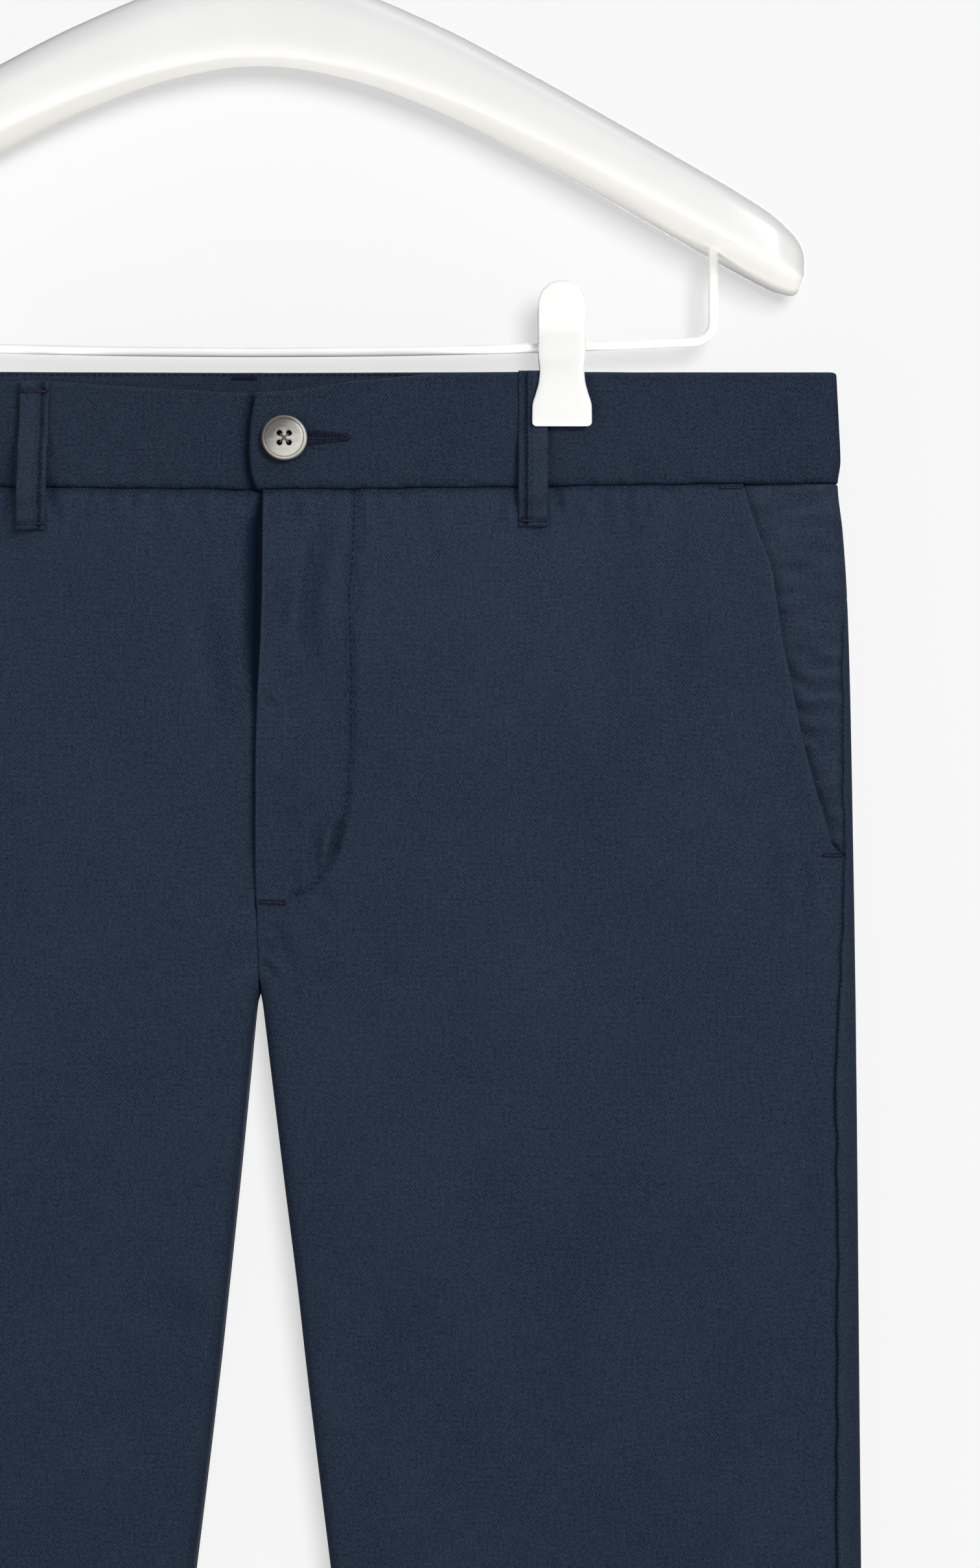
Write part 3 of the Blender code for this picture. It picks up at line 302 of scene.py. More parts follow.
# ---------------------------------------------------------------- soft relief of the cloth
CREASES = (
    # face, across and drop of the start, across and drop of the end, half width, depth, bow
    (-1, 26.5, 52.0, 21.5, 112.0, 3.7, 0.44, 3.2),
    (-1, 20.5, 62.0, 19.0, 104.0, 2.4, 0.20, 1.0),
    (-1, 13.5, 44.0, 14.5, 58.0, 2.2, 0.16, 0.0),
    (-1, 9.5, 76.0, 8.5, 98.0, 2.6, 0.16, 0.0),
    (-1, 38.5, 43.0, 38.0, 68.0, 1.8, 0.32, 0.0),
    (-1, 37.5, 74.0, 37.0, 96.0, 1.8, 0.24, 0.0),
    (-1, 3.0, 119.0, 8.0, 124.0, 1.4, 0.26, 0.0),
    (-1, 22.5, 166.0, 22.0, 186.0, 2.0, 0.34, 1.0),
    (-1, 31.0, 165.0, 27.0, 180.0, 1.7, 0.40, 0.0),
    (-1, 16.0, 178.0, 12.0, 190.0, 1.8, 0.26, 0.0),
    (-1, 24.0, 190.0, 30.0, 200.0, 3.0, 0.20, 0.0),
    (-1, 2.0, 209.5, 8.0, 213.0, 1.5, 0.34, 0.0),
    (-1, 2.0, 216.0, 9.0, 223.0, 1.6, 0.40, 0.0),
    (-1, 5.0, 203.0, 14.0, 222.0, 3.0, 0.30, -1.0),
    (-1, 62.0, 46.0, 68.0, 74.0, 4.0, 0.16, 1.0),
    (-1, 92.5, 41.0, 89.0, 60.0, 1.8, 0.40, 0.0),
    (-1, 110.0, 41.0, 111.5, 52.0, 1.5, 0.50, 0.0),
    (-1, 116.0, 42.0, 118.0, 56.0, 1.9, 0.26, 0.0),
    (-1, 127.0, 42.0, 129.0, 62.0, 2.6, 0.20, 0.0),
    (-1, 135.0, 42.0, 136.0, 54.0, 1.9, 0.20, 0.0),
    (-1, 157.0, 54.0, 158.0, 128.0, 5.0, 0.18, 0.0),
    (-1, 193.0, 58.0, 208.0, 62.0, 2.2, 0.16, 0.0),
    (-1, 194.0, 72.0, 210.0, 73.0, 2.4, 0.14, 0.0),
    (-1, 193.0, 101.0, 207.0, 104.0, 2.0, 0.22, 0.0),
    (-1, 196.0, 112.0, 206.0, 116.0, 1.8, 0.30, 0.0),
    (-1, 198.0, 123.0, 208.0, 127.0, 1.8, 0.34, 0.0),
    (-1, 200.0, 132.0, 209.0, 138.0, 2.0, 0.30, 0.0),
    (-1, 186.0, 168.0, 193.0, 200.0, 4.0, 0.20, 0.0),
    (-1, 200.0, 178.0, 203.0, 206.0, 3.0, 0.26, 0.0),
    (-1, 209.0, 181.0, 208.0, 196.0, 2.0, 0.26, 0.0),
    (-1, 119.0, 150.0, 121.0, 340.0, 9.0, 0.08, 0.0),
    (-1, 204.0, 236.0, 202.0, 330.0, 5.0, 0.24, -2.0),
    (-1, 150.0, 236.0, 128.0, 330.0, 10.0, 0.09, 5.0),
    (-1, 96.0, 300.0, 112.0, 420.0, 12.0, 0.10, -5.0),
    (-1, 54.0, 330.0, 40.0, 452.0, 8.0, 0.11, 4.0),
    (-1, 178.0, 340.0, 168.0, 470.0, 9.0, 0.11, 4.0),
    (-1, -17.0, 80.0, -8.0, 134.0, 5.5, 0.46, 0.0),
    (-1, -22.0, 44.0, -21.0, 60.0, 2.6, 0.20, 0.0),
    (-1, -36.0, 42.0, -35.0, 56.0, 2.6, 0.14, 0.0),
    (-1, -76.0, 41.0, -73.5, 55.0, 1.8, 0.55, 0.0),
    (-1, -92.0, 42.0, -96.0, 60.0, 2.2, 0.30, 0.0),
    (-1, -120.0, 44.0, -124.0, 74.0, 4.0, 0.22, 0.0),
    (-1, -154.0, 54.0, -158.0, 130.0, 6.0, 0.26, 0.0),
    (-1, -188.0, 168.0, -194.0, 200.0, 4.0, 0.20, 0.0),
    (-1, -200.0, 178.0, -203.0, 206.0, 3.0, 0.26, 0.0),
    (-1, -4.0, 208.0, -18.0, 224.0, 4.0, 0.20, 1.0),
    (-1, -38.0, 336.0, -20.0, 352.0, 7.0, 0.30, 0.0),
    (-1, -120.0, 170.0, -121.0, 350.0, 9.0, 0.10, 0.0),
    (-1, -206.0, 205.0, -199.0, 340.0, 6.0, 0.22, 3.0),
    (-1, -92.0, 320.0, -108.0, 440.0, 12.0, 0.10, 5.0),
    (-1, -170.0, 350.0, -160.0, 478.0, 9.0, 0.11, -4.0),
    (1, -12.0, 200.0, -70.0, 176.0, 7.0, 0.33, 5.0),
    (1, 10.0, 204.0, 66.0, 182.0, 7.0, 0.30, -5.0),
    (1, -10.0, 226.0, -80.0, 238.0, 8.0, 0.33, 5.0),
    (1, 12.0, 228.0, 76.0, 242.0, 8.0, 0.33, -5.0),
    (1, 26.0, 58.0, 34.0, 150.0, 9.0, 0.28, 4.0),
    (1, -30.0, 60.0, -40.0, 160.0, 9.0, 0.28, -4.0),
    (1, 104.0, 56.0, 96.0, 150.0, 9.0, 0.33, 4.0),
    (1, -104.0, 58.0, -92.0, 146.0, 9.0, 0.30, -4.0),
    (1, 186.0, 90.0, 192.0, 210.0, 8.0, 0.28, 3.0),
    (1, -184.0, 84.0, -190.0, 200.0, 8.0, 0.28, -3.0),
    (1, 110.0, 250.0, 128.0, 380.0, 12.0, 0.30, -6.0),
    (1, -112.0, 262.0, -124.0, 400.0, 12.0, 0.30, 6.0),
    (1, 46.0, 300.0, 60.0, 440.0, 10.0, 0.28, 5.0),
    (1, -48.0, 310.0, -58.0, 446.0, 10.0, 0.28, -5.0),
    (1, 190.0, 300.0, 180.0, 452.0, 9.0, 0.25, 3.0),
    (1, -188.0, 290.0, -178.0, 440.0, 9.0, 0.25, -3.0),
)


def waves(seed, count, shortest, longest):
    """Random plane waves, as wavelengths, directions and phases."""
    draw = np.random.default_rng(seed)
    lengths = shortest * (longest / shortest) ** draw.random(count)
    return lengths, draw.random(count) * np.pi, draw.random(count) * 2.0 * np.pi


def uneven(across, drop, kind, stretch=1.0):
    """A smooth uneven field, mostly between -1 and 1, over places in millimetres."""
    lengths, turns, phases = kind
    total = np.zeros(np.broadcast(across, drop).shape)
    for length, turn, phase in zip(lengths, turns, phases):
        along = across * math.cos(turn) + drop * math.sin(turn) / stretch
        total += np.sin(2.0 * np.pi * along / length + phase)
    return total / math.sqrt(len(lengths))


BROAD = {-1: waves(11, 9, 55.0, 160.0), 1: waves(12, 9, 50.0, 150.0)}
MIDDLING = {-1: waves(21, 14, 16.0, 42.0), 1: waves(22, 14, 16.0, 42.0)}
FINE = {-1: waves(31, 16, 5.0, 11.0), 1: waves(32, 16, 5.0, 11.0)}
PUCKER = {-1: waves(41, 12, 3.6, 10.0), 1: waves(42, 12, 3.6, 10.0)}
SEAM_WANDER = waves(51, 6, 9.0, 34.0)


def crease(across, drop, row):
    """A soft trough with low shoulders along a bowed line."""
    x0, z0, x1, z1, half_width, depth, bow = row
    length = math.hypot(x1 - x0, z1 - z0)
    ux, uz = (x1 - x0) / length, (z1 - z0) / length
    along = ((across - x0) * ux + (drop - z0) * uz) / length
    aside = (across - x0) * -uz + (drop - z0) * ux
    aside = aside - bow * 4.0 * along * (1.0 - along)
    window = ease((along + 0.12) / 0.4) * ease((1.12 - along) / 0.5)
    shape = bell(aside, half_width) - 0.4 * bell(np.abs(aside) - 1.9 * half_width, half_width)
    return -3.1 * depth * window * shape


def relief(face, across, drop):
    """How far the cloth stands proud of its plain form, in millimetres."""
    total = 0.22 * uneven(across, drop, BROAD[face], 1.8)
    total = total + 0.09 * uneven(across, drop, MIDDLING[face], 1.6)
    total = total + 0.02 * uneven(across, drop, FINE[face])
    for row in CREASES:
        if row[0] == face:
            total = total + crease(across, drop, row[1:])
    return total


def seam_drop(across):
    """Where the waistband's seam lies below the waist on the front."""
    wander = 0.16 * uneven(across, 0.0, SEAM_WANDER) * ease((200.0 - np.abs(across)) / 20.0)
    return BAND_HEIGHT + BAND_DIP * bell(across, BAND_DIP_REACH) + wander


def below_seam(face, across, drop):
    """Relief of a panel under the waistband's seam: it rolls in, and puckers a little."""
    top = seam_drop(across) if face < 0 else BAND_HEIGHT
    down = np.maximum(drop - top, 0.0)
    pucker = uneven(across, drop * 0.25, PUCKER[face]) * np.exp(-down / 7.0) * ease(down / 2.0)
    return 0.75 * pucker - 1.1 * np.exp(-down / 1.4)


J_STITCH = (
    # drop, across
    (42.0, 35.8), (66.0, 35.2), (82.0, 34.0), (109.0, 34.5), (132.0, 34.5), (153.0, 33.5),
    (161.0, 32.4), (170.5, 30.0), (179.5, 26.9), (187.0, 22.4),
)
J_TURN = (
    # across, drop
    (11.9, 192.4), (18.1, 190.7), (22.4, 187.0),
)


def j_path():
    """The fly's line of stitches, from the waistband's seam round to the fly's foot."""
    down = np.linspace(J_STITCH[0][0], J_STITCH[-1][0], 180)
    points = np.stack((read(J_STITCH, 1, down), down), axis=1)
    back = np.linspace(J_TURN[-1][0], J_TURN[0][0], 16)[1:]
    turn = np.stack((back, read(J_TURN, 1, back)), axis=1)
    return np.concatenate((points, turn))


def near_path(across, drop, path):
    """Distance in millimetres from each place to a line of places."""
    best = np.full(np.broadcast(across, drop).shape, 1e9)
    for start, end in zip(path[:-1:3], path[3::3]):
        line = end - start
        t = np.clip(((across - start[0]) * line[0] + (drop - start[1]) * line[1])
                    / float(line @ line), 0.0, 1.0)
        best = np.minimum(best, (across - start[0] - t * line[0]) ** 2
                          + (drop - start[1] - t * line[1]) ** 2)
    return np.sqrt(best)


# ---------------------------------------------------------------- the garment's skin
CROTCH_MIDDLE = float(read(GAP, 1, CROTCH))


def gap_edge(side, drop):
    """Where a leg's inner edge lies across the garment, below the crotch."""
    return read(GAP, 1, drop) + side * (read(GAP, 2, drop) + EDGE)


def stand_off(face, across, drop):
    """How far the front (-1) or the back (+1) stands off the middle plane."""
    reach = np.abs(across)
    label = "front" if face < 0 else "back"
    bulge = np.cos(math.pi / 2 * np.minimum(reach / BULGE_REACH, 1.0)) ** 2
    height = section(label, drop) + section(label + "_bulge", drop) * bulge
    beyond = (np.abs(reach - CLIP_X) - PINCH_FLAT) / PINCH_FADE
    height = height - section("pinch", drop) * (1.0 - ease(beyond))
    middle = section("width", drop) / 2
    height = height + section("crown", drop) * (1.0 - ((reach - middle) / middle) ** 2)
    for side, fold_face, fold_across, top, bottom, half_width, depth in FOLDS:
        if fold_face == face:
            length = ease((drop - top) / FOLD_START)
            length = length * ease((bottom - drop) / FOLD_END + (bottom >= LEG_END))
            here = (across >= 0) == (side > 0)
            height = height - here * depth * length * bell(reach - fold_across, half_width)
    return height


def inner_rounding(side, across, drop, inset):
    """How the cloth rounds down to the inseam, and to the crotch point from above."""
    below = side * (across - gap_edge(side, drop)) - inset
    above = np.hypot(across - CROTCH_MIDDLE, CROTCH - drop) - inset
    return rounding(np.where(drop >= CROTCH, below, above) / (INSEAM_FOLD - inset), 4.0)


def skin(side, x, drop, face, inset=0.0, sink=0.0, lift=0.0):
    """Points on a front or back: x is measured from the middle towards the side."""
    width, fold = section("width", drop), section("fold", drop)
    across = side * x
    height = stand_off(face, across, drop) + lift - inset
    height = height * rounding((width - inset - x) / (fold - inset))
    height = height * inner_rounding(side, across, drop, inset)
    return place(across, face * np.maximum(height - sink, 0.02), drop)


def fold_point(side, angle, drop, inset=0.0, lift=0.0):
    """Points round the side's fold: angle 0 at its tip, below 0 on the front."""
    width, fold = section("width", drop), section("fold", drop)
    x = width - inset - (fold - inset) * (1.0 - np.cos(angle))
    height = np.where(angle > 0, stand_off(1, side * x, drop), stand_off(-1, side * x, drop))
    return place(side * x, np.sin(angle) * (height + lift - inset), drop)


def at_reach(drop, reach, inset):
    """Distance from the middle of a point that lies `reach` in from the fold's tip."""
    width, fold = section("width", drop), section("fold", drop)
    folded = width - inset - (fold - inset) * reach / fold
    return np.where(reach >= fold, width - reach, folded)


def side_seam(drop):
    """Where the side seam lies, in from the fold's tip; it wanders a little."""
    wander = 0.28 * uneven(drop, 0.0, SEAM_WANDER) * ease((drop - 90.0) / 10.0)
    return read(SIDE_SEAM, 1, drop) + wander


def seam_angle(drop):
    """Angle round the side's fold at which the side seam lies."""
    return np.arccos(1.0 - np.minimum(side_seam(drop) / section("fold", drop), 1.0))


def seam_reach(drop):
    return side_seam(drop) + EDGE * np.sin(seam_angle(drop))


def fly_depth(across, drop):
    """How far the right front is sunk where it runs under the fly."""
    share = ease((across - VALLEY_OUTER) / (VALLEY_INNER - VALLEY_OUTER))
    return read(FLY_DEPTH, 1, drop) * share


def fly_trough(across, drop):
    """How much deeper the right front lies beside the fly's edge, where the fly stands open."""
    gaping = ease((drop - 44.0) / 16.0) * ease((132.0 - drop) / 36.0)
    beside = across - read(FLY_EDGE, 1, drop) + 0.6 + 1.2 * gaping
    width = 1.7 + 2.3 * gaping
    return (0.7 + 2.1 * gaping) * bell(beside, width) * ease((FLY_BOTTOM + 6.0 - drop) / 30.0)


def soft_relief(face, side, x, drop):
    """The cloth's relief, which fades towards the sides, so that front and back meet."""
    return relief(face, side * x, drop) * ease((section("width", drop) - 6.0 - x) / 16.0)


# ---------------------------------------------------------------- meshes from arrays of points
EDGE_STEPS = (0.0, 0.1, 0.3, 0.6, 1.0, 1.5, 2.1, 2.8)   # mm from an edge, fine enough to round it


def run(*stretches):
    """Places one after another: each stretch goes on to an end in steps of about a size."""
    places = list(stretches[0])
    for end, step in stretches[1:]:
        count = max(1, round(abs(end - places[-1]) / step))
        places += list(np.linspace(places[-1], end, count + 1)[1:])
    return np.array(places)


def odd(places):
    """An odd number of places, so that every other one reaches both ends."""
    if len(places) % 2:
        return places
    middle = len(places) // 2
    return np.insert(places, middle, (places[middle - 1] + places[middle]) / 2)


def walked(points, axis):
    """Distance walked along one axis of a grid of points."""
    steps = np.linalg.norm(np.diff(points, axis=axis), axis=-1)
    start = np.zeros_like(np.take(steps, [0], axis=axis))
    return np.concatenate((start, np.cumsum(steps, axis=axis)), axis=axis)


def edge_distances(outer):
    """Distances in metres along the cloth from its edges: top, bottom, first, last."""
    down, along = walked(outer, 0), walked(outer, 1)
    return down, down[-1:] - down, along, along[:, -1:] - along


def rounded_edges(outer, inner, radii):
    """Both layers turned towards each other at their edges: top, bottom, first, last."""
    kept = np.ones(outer.shape[:2])
    for distance, radius in zip(edge_distances(outer), radii):
        if radius:
            share = 1.0 - np.clip(distance / (radius * MM), 0.0, 1.0)
            kept = kept * np.sqrt(1.0 - share ** 2)
    turned = (1.0 - kept)[..., None]
    between = inner - outer
    return outer + 0.62 * turned * between, inner - 0.12 * turned * between


def edge_wear_and_highlight(outer, strengths):
    """How much paler folded edges are, partly from wear and partly as painted highlight, at each
    point of a layer: top, bottom, first, last.
    """
    total = np.zeros(outer.shape[:2])
    for distance, strength in zip(edge_distances(outer), strengths):
        total = np.maximum(total, strength * bell(distance / MM - 0.6, 0.7))
    return total


def lay_cloth(mesh, uv):
    """Writes the "Cloth" coordinates, given for each point, in metres."""
    corners = np.zeros(len(mesh.loops), np.int32)
    mesh.loops.foreach_get("vertex_index", corners)
    layer = mesh.uv_layers.new(name="Cloth")
    layer.uv.foreach_set("vector", np.asarray(uv, np.float32)[corners].ravel())


def mesh_object(name, points, faces, material, uv=None):
    mesh = bpy.data.meshes.new(name)
    mesh.from_pydata(np.asarray(points).tolist(), [], faces)
    mesh.materials.append(material)
    mesh.shade_smooth()
    if uv is not None:
        lay_cloth(mesh, uv)
    obj = bpy.data.objects.new(name, mesh)
    bpy.context.scene.collection.objects.link(obj)
    return obj


def grid_faces(rows, columns, base, flip):
    index = np.arange(rows * columns).reshape(rows, columns) + base
    corners = (index[:-1, :-1], index[1:, :-1], index[1:, 1:], index[:-1, 1:])
    faces = np.stack([c.ravel() for c in corners], axis=1)
    return faces[:, ::-1] if flip else faces


def border(index):
    return np.concatenate((index[0, :-1], index[:-1, -1], index[-1, :0:-1], index[:0:-1, 0]))


def shell(name, outer, inner, uv, material, worn=(0.0, 0.0, 0.0, 0.0), tone=0.0, inside=0.0):
    """A closed cloth wall: a fine outer layer, and an inner one half as fine.

    Its outer layer is paler along its edges, partly from wear and partly as painted highlight, and
    paler or darker by its tone, which is painted shade and painted highlight. Its inner layer is
    painted paler or darker by one value.
    """
    rows, columns = outer.shape[:2]
    thin = inner[::2, ::2]
    first, count = rows * columns, thin.shape[0] * thin.shape[1]
    points = np.concatenate((outer.reshape(-1, 3), thin.reshape(-1, 3)))
    coordinates = np.concatenate((uv.reshape(-1, 2), uv[::2, ::2].reshape(-1, 2)))
    down = outer[2, 2] - outer[1, 2]
    aside = outer[1, 3] - outer[1, 2]
    flip = np.dot(np.cross(down, aside), outer[1, 2] - inner[1, 2]) < 0
    faces = grid_faces(rows, columns, 0, flip).tolist()
    faces += grid_faces(*thin.shape[:2], first, not flip).tolist()
    rim = border(np.arange(first).reshape(rows, columns))
    low = border(np.arange(first, first + count).reshape(thin.shape[:2]))
    near, after, low_after = rim[::2], np.roll(rim, -2)[::2], np.roll(low, -1)
    half = rim[1::2]
    strips = [(near, low, half), (half, low, low_after), (half, low_after, after)]
    for strip in strips:
        faces += np.stack(strip if flip else strip[::-1], axis=1).tolist()
    piece = mesh_object(name, points, faces, material, coordinates)
    # Edge wear with painted highlight, plus the painted shade and highlight of the tone, kept for
    # the cloth's material
    wear_and_painted_light_values = np.full(first + count, inside, np.float32)
    wear_and_painted_light_values[:first] = (edge_wear_and_highlight(outer, worn) + tone).ravel()
    piece.data.attributes.new("worn", "FLOAT", "POINT").data.foreach_set("value", wear_and_painted_light_values)
    return piece


def cloth_uv(outer, drop, column, start, sign):
    """Cloth coordinates in metres: across along the cloth from one column, and up."""
    along = walked(outer, 1)
    u = start * MM + sign * (along - along[:, column:column + 1])
    return np.stack((u, np.broadcast_to(-drop * MM, u.shape)), axis=-1)


def finish_piece(obj, nodes=()):
    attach(obj, "root")
    if nodes:
        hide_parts(*nodes)
    return obj


# ---------------------------------------------------------------- fronts
FOLD_ANGLES = np.radians((0, 0.7, 2, 4, 7, 10, 14, 18, 22, 26, 31, 36, 41, 46, 51, 56, 61, 66,
                          71, 76, 81, 86, 90))
ALLOWANCE_ROLL = 0.75       # radius that a sewn or folded edge is rounded to
SIDE_ROLL = 1.15
HEM_ROLL = 1.2
INNER_ZONE = 28.0           # fine columns run this far beyond the inseam's fold
OUTER_ZONE = 22.0           # and this far in from a panel's outer edge
J_LINE = j_path()


def panel_rows(fine):
    """Drops of a panel's rows, from the waistband's seam to the hem's fold."""
    top = [BAND_HEIGHT + EDGE + step for step in EDGE_STEPS]
    rows = run(top, (60.0, 0.9), (196.0, fine), (236.0, 1.5), (LEG_END - HEM - 3.0, 3.2),
               (LEG_END - HEM + 3.0, 0.6), (LEG_END - 2.8, 2.6))
    return odd(np.concatenate((rows, LEG_END - np.array(EDGE_STEPS[-2::-1]))))


def wall_at(drop, thick):
    """The wall is twice as thick where the hem is turned up inside."""
    return thick * (1.0 + ease((drop - (LEG_END - HEM)) / 1.6))


def front_edge(side, drop):
    """Where a front's inner edge lies; the right one runs on under the fly."""
    middle = read(FLY_EDGE, 1, drop) + side * EDGE
    if side < 0:
        middle = middle + (UNDERLAP - middle) * np.clip((FLY_BOTTOM + 3.0 - drop) / 5.0, 0.0, 1.0)
    return np.where(drop >= CROTCH, gap_edge(side, drop), middle)


def back_edge(side, drop):
    return np.where(drop >= CROTCH, gap_edge(side, drop), read(GAP, 1, drop) + side * EDGE)


def front_reach(drop):
    """How far in from the side's tip a front ends: at the pocket's mouth, then the seam."""
    seam = seam_reach(drop)
    mouth = np.maximum(section("width", drop) - read(MOUTH, 1, drop), seam)
    closed = np.clip((drop - MOUTH[-1][0]) / (MOUTH_BOTTOM - MOUTH[-1][0]), 0.0, 1.0)
    return mouth + (seam - mouth) * closed


def panel_x(side, edge, outer_x, drop, inset, beyond, shares, outward):
    """Distances from the middle of a panel's columns, from its inner edge to its outer one."""
    turned_in = inset * ease((drop - CROTCH + 6.0) / 6.0)
    turned = 1.0 - np.cos(FOLD_ANGLES)
    fold = side * edge + turned_in + (INSEAM_FOLD - turned_in) * turned
    low = np.concatenate((fold, fold[:, -1:] + beyond), axis=1)
    end = outer_x - outward[0]
    middle = low[:, -1:] + (end - low[:, -1:]) * shares
    return np.concatenate((low, middle, outer_x - outward), axis=1)


def dipped(across, row):
    """The front's top rows follow the waistband's seam."""
    share = 1.0 - ease((row - BAND_HEIGHT) / 18.0)
    return row + (seam_drop(across) - BAND_HEIGHT) * share


def hem_lift(across, drop, face):
    """A groove along the hem's stitches, and the folded hem a little proud below them."""
    line = LEG_END - HEM
    pucker = uneven(across, drop * 0.2, PUCKER[face]) * bell(drop - line, 5.0)
    return 0.10 * ease((drop - line) / 2.0) - 0.22 * bell(drop - line - 1.0, 0.8) + 0.07 * pucker


def panel_relief(face, side, x, drop):
    """Relief of any panel: the cloth's own, calmer near the waistband, its seam and its hem."""
    total = soft_relief(face, side, x, drop) * (0.45 + 0.55 * ease((drop - 42.0) / 18.0))
    return total + below_seam(face, side * x, drop) + hem_lift(side * x, drop, face)


def outer_edge(x, drop):
    """How far in from a front's outer edge a place lies, and how far the pocket is closed."""
    to_edge = np.maximum(section("width", drop) - front_reach(drop) - x, 0.0)
    return to_edge, ease((drop - MOUTH_BOTTOM) / 4.0)


def front_lift(side, x, drop):
    """Relief of a front: with the fly's stitches and edge, and the pocket's edge."""
    across = side * x
    total = panel_relief(-1, side, x, drop)
    if side > 0:
        reach = near_path(across, drop, J_LINE)
        total = total - 1.0 * bell(reach, 1.6) + 0.28 * bell(reach - 3.2, 1.8)
        total = total + 0.26 * uneven(across, drop, PUCKER[-1]) * bell(reach, 4.5)
        open_edge = 0.5 + 0.8 * ease((drop - 42.0) / 20.0) * ease((120.0 - drop) / 40.0)
        total = total + open_edge * bell(across - 1.5, 4.0) * ease((FLY_BOTTOM - drop) / 6.0)
    else:
        total = total - fly_trough(across, drop)
    to_edge, closed = outer_edge(x, drop)
    ripple = uneven(drop, across * 0.3, PUCKER[-1])
    total = total + (0.40 + 0.12 * ripple) * bell(to_edge - 3.4, 2.4) * (1.0 - closed)
    total = total + (0.16 * ripple * bell(to_edge, 6.0) - 0.9 * np.exp(-to_edge)) * closed
    return total


def front_painted_shade(side, x, drop):
    """Painted shade on a front: darker in its waistband seam, creases, the fly's stitched groove,
    beside the fly's edge and along the side seam below the pocket, with a painted highlight on the
    creases' ridges.
    """
    across = side * x
    tone = 0.15 * soft_relief(-1, side, x, drop) - 0.60 * bell(drop - seam_drop(across), 1.9)
    if side > 0:
        tone = tone - 0.26 * bell(near_path(across, drop, J_LINE), 1.6)
    else:
        tone = tone - 0.8 * fly_trough(across, drop)
    to_edge, closed = outer_edge(x, drop)
    return tone - 1.1 * bell(to_edge, 0.95) * closed


def make_front(label, side, material):
    if side > 0:
        beyond = run((0.7,), (INNER_ZONE, 0.75))
        rows = panel_rows(1.1)
    else:
        beyond = run((1.4,), (INNER_ZONE, 1.5))
        rows = panel_rows(1.7)
    drops = rows[:, None]
    outward = run((OUTER_ZONE,), (2.8, 1.3))
    outward = np.concatenate((outward, EDGE_STEPS[-2::-1]))
    count = 138 if side > 0 else 84
    count += (len(FOLD_ANGLES) + len(beyond) + len(outward) + count + 1) % 2
    shares = np.arange(1, count + 1) / (count + 1)
    if side > 0:
        shares = np.interp(shares, (0.0, 0.34, 1.0), (0.0, 0.21, 1.0))
    grids = []
    for layer in (0.0, CLOTH):
        inset = wall_at(drops, layer)
        edge = front_edge(side, drops)
        outer_x = at_reach(drops, front_reach(drops), inset)
        x = panel_x(side, edge, outer_x, drops, inset, beyond, shares, outward)
        if layer == 0.0:
            outside = x
            drop = dipped(side * x, drops)
            lift = front_lift(side, x, drop)
            # Painted shade and painted highlight on the front
            tone = front_painted_shade(side, x, drop)
            plain = skin(side, x, drop, -1)
        sink = fly_depth(side * x, drop) if side < 0 else 0.0
        grids.append(skin(side, x, drop, -1, inset, sink, lift))
    outer, inner = rounded_edges(grids[0], grids[1], (0.85, HEM_ROLL, ALLOWANCE_ROLL, SIDE_ROLL))
    column = outer.shape[1] // 2
    uv = cloth_uv(plain, drop, column, side * outside[:, column:column + 1], side)
    # The fly's edge and the pocket's mouth are paler, partly from wear and partly as painted
    # highlight
    fly = 0.5 * ease((FLY_BOTTOM - drops) / 6.0) * (side > 0)
    mouth = 0.55 * ease((MOUTH_BOTTOM - drops) / 10.0)
    worn = (0.0, 0.0, fly, mouth)
    piece = shell("front_cloth_" + label, outer, inner, uv, material, worn, tone)
    return finish_piece(piece, ["front_" + label])


# ---------------------------------------------------------------- backs
def back_lift(side, x, drop):
    """Relief of a back: with the seat's seam down its middle."""
    across = side * x
    centre = np.abs(across - read(GAP, 1, drop))
    above_crotch = ease((CROTCH - drop) / 8.0)
    pucker = uneven(drop, across * 0.2, PUCKER[1]) * bell(centre, 7.0)
    seat_seam = 0.14 * pucker - 0.3 * bell(centre, 1.1)
    return panel_relief(1, side, x, drop) + seat_seam * above_crotch


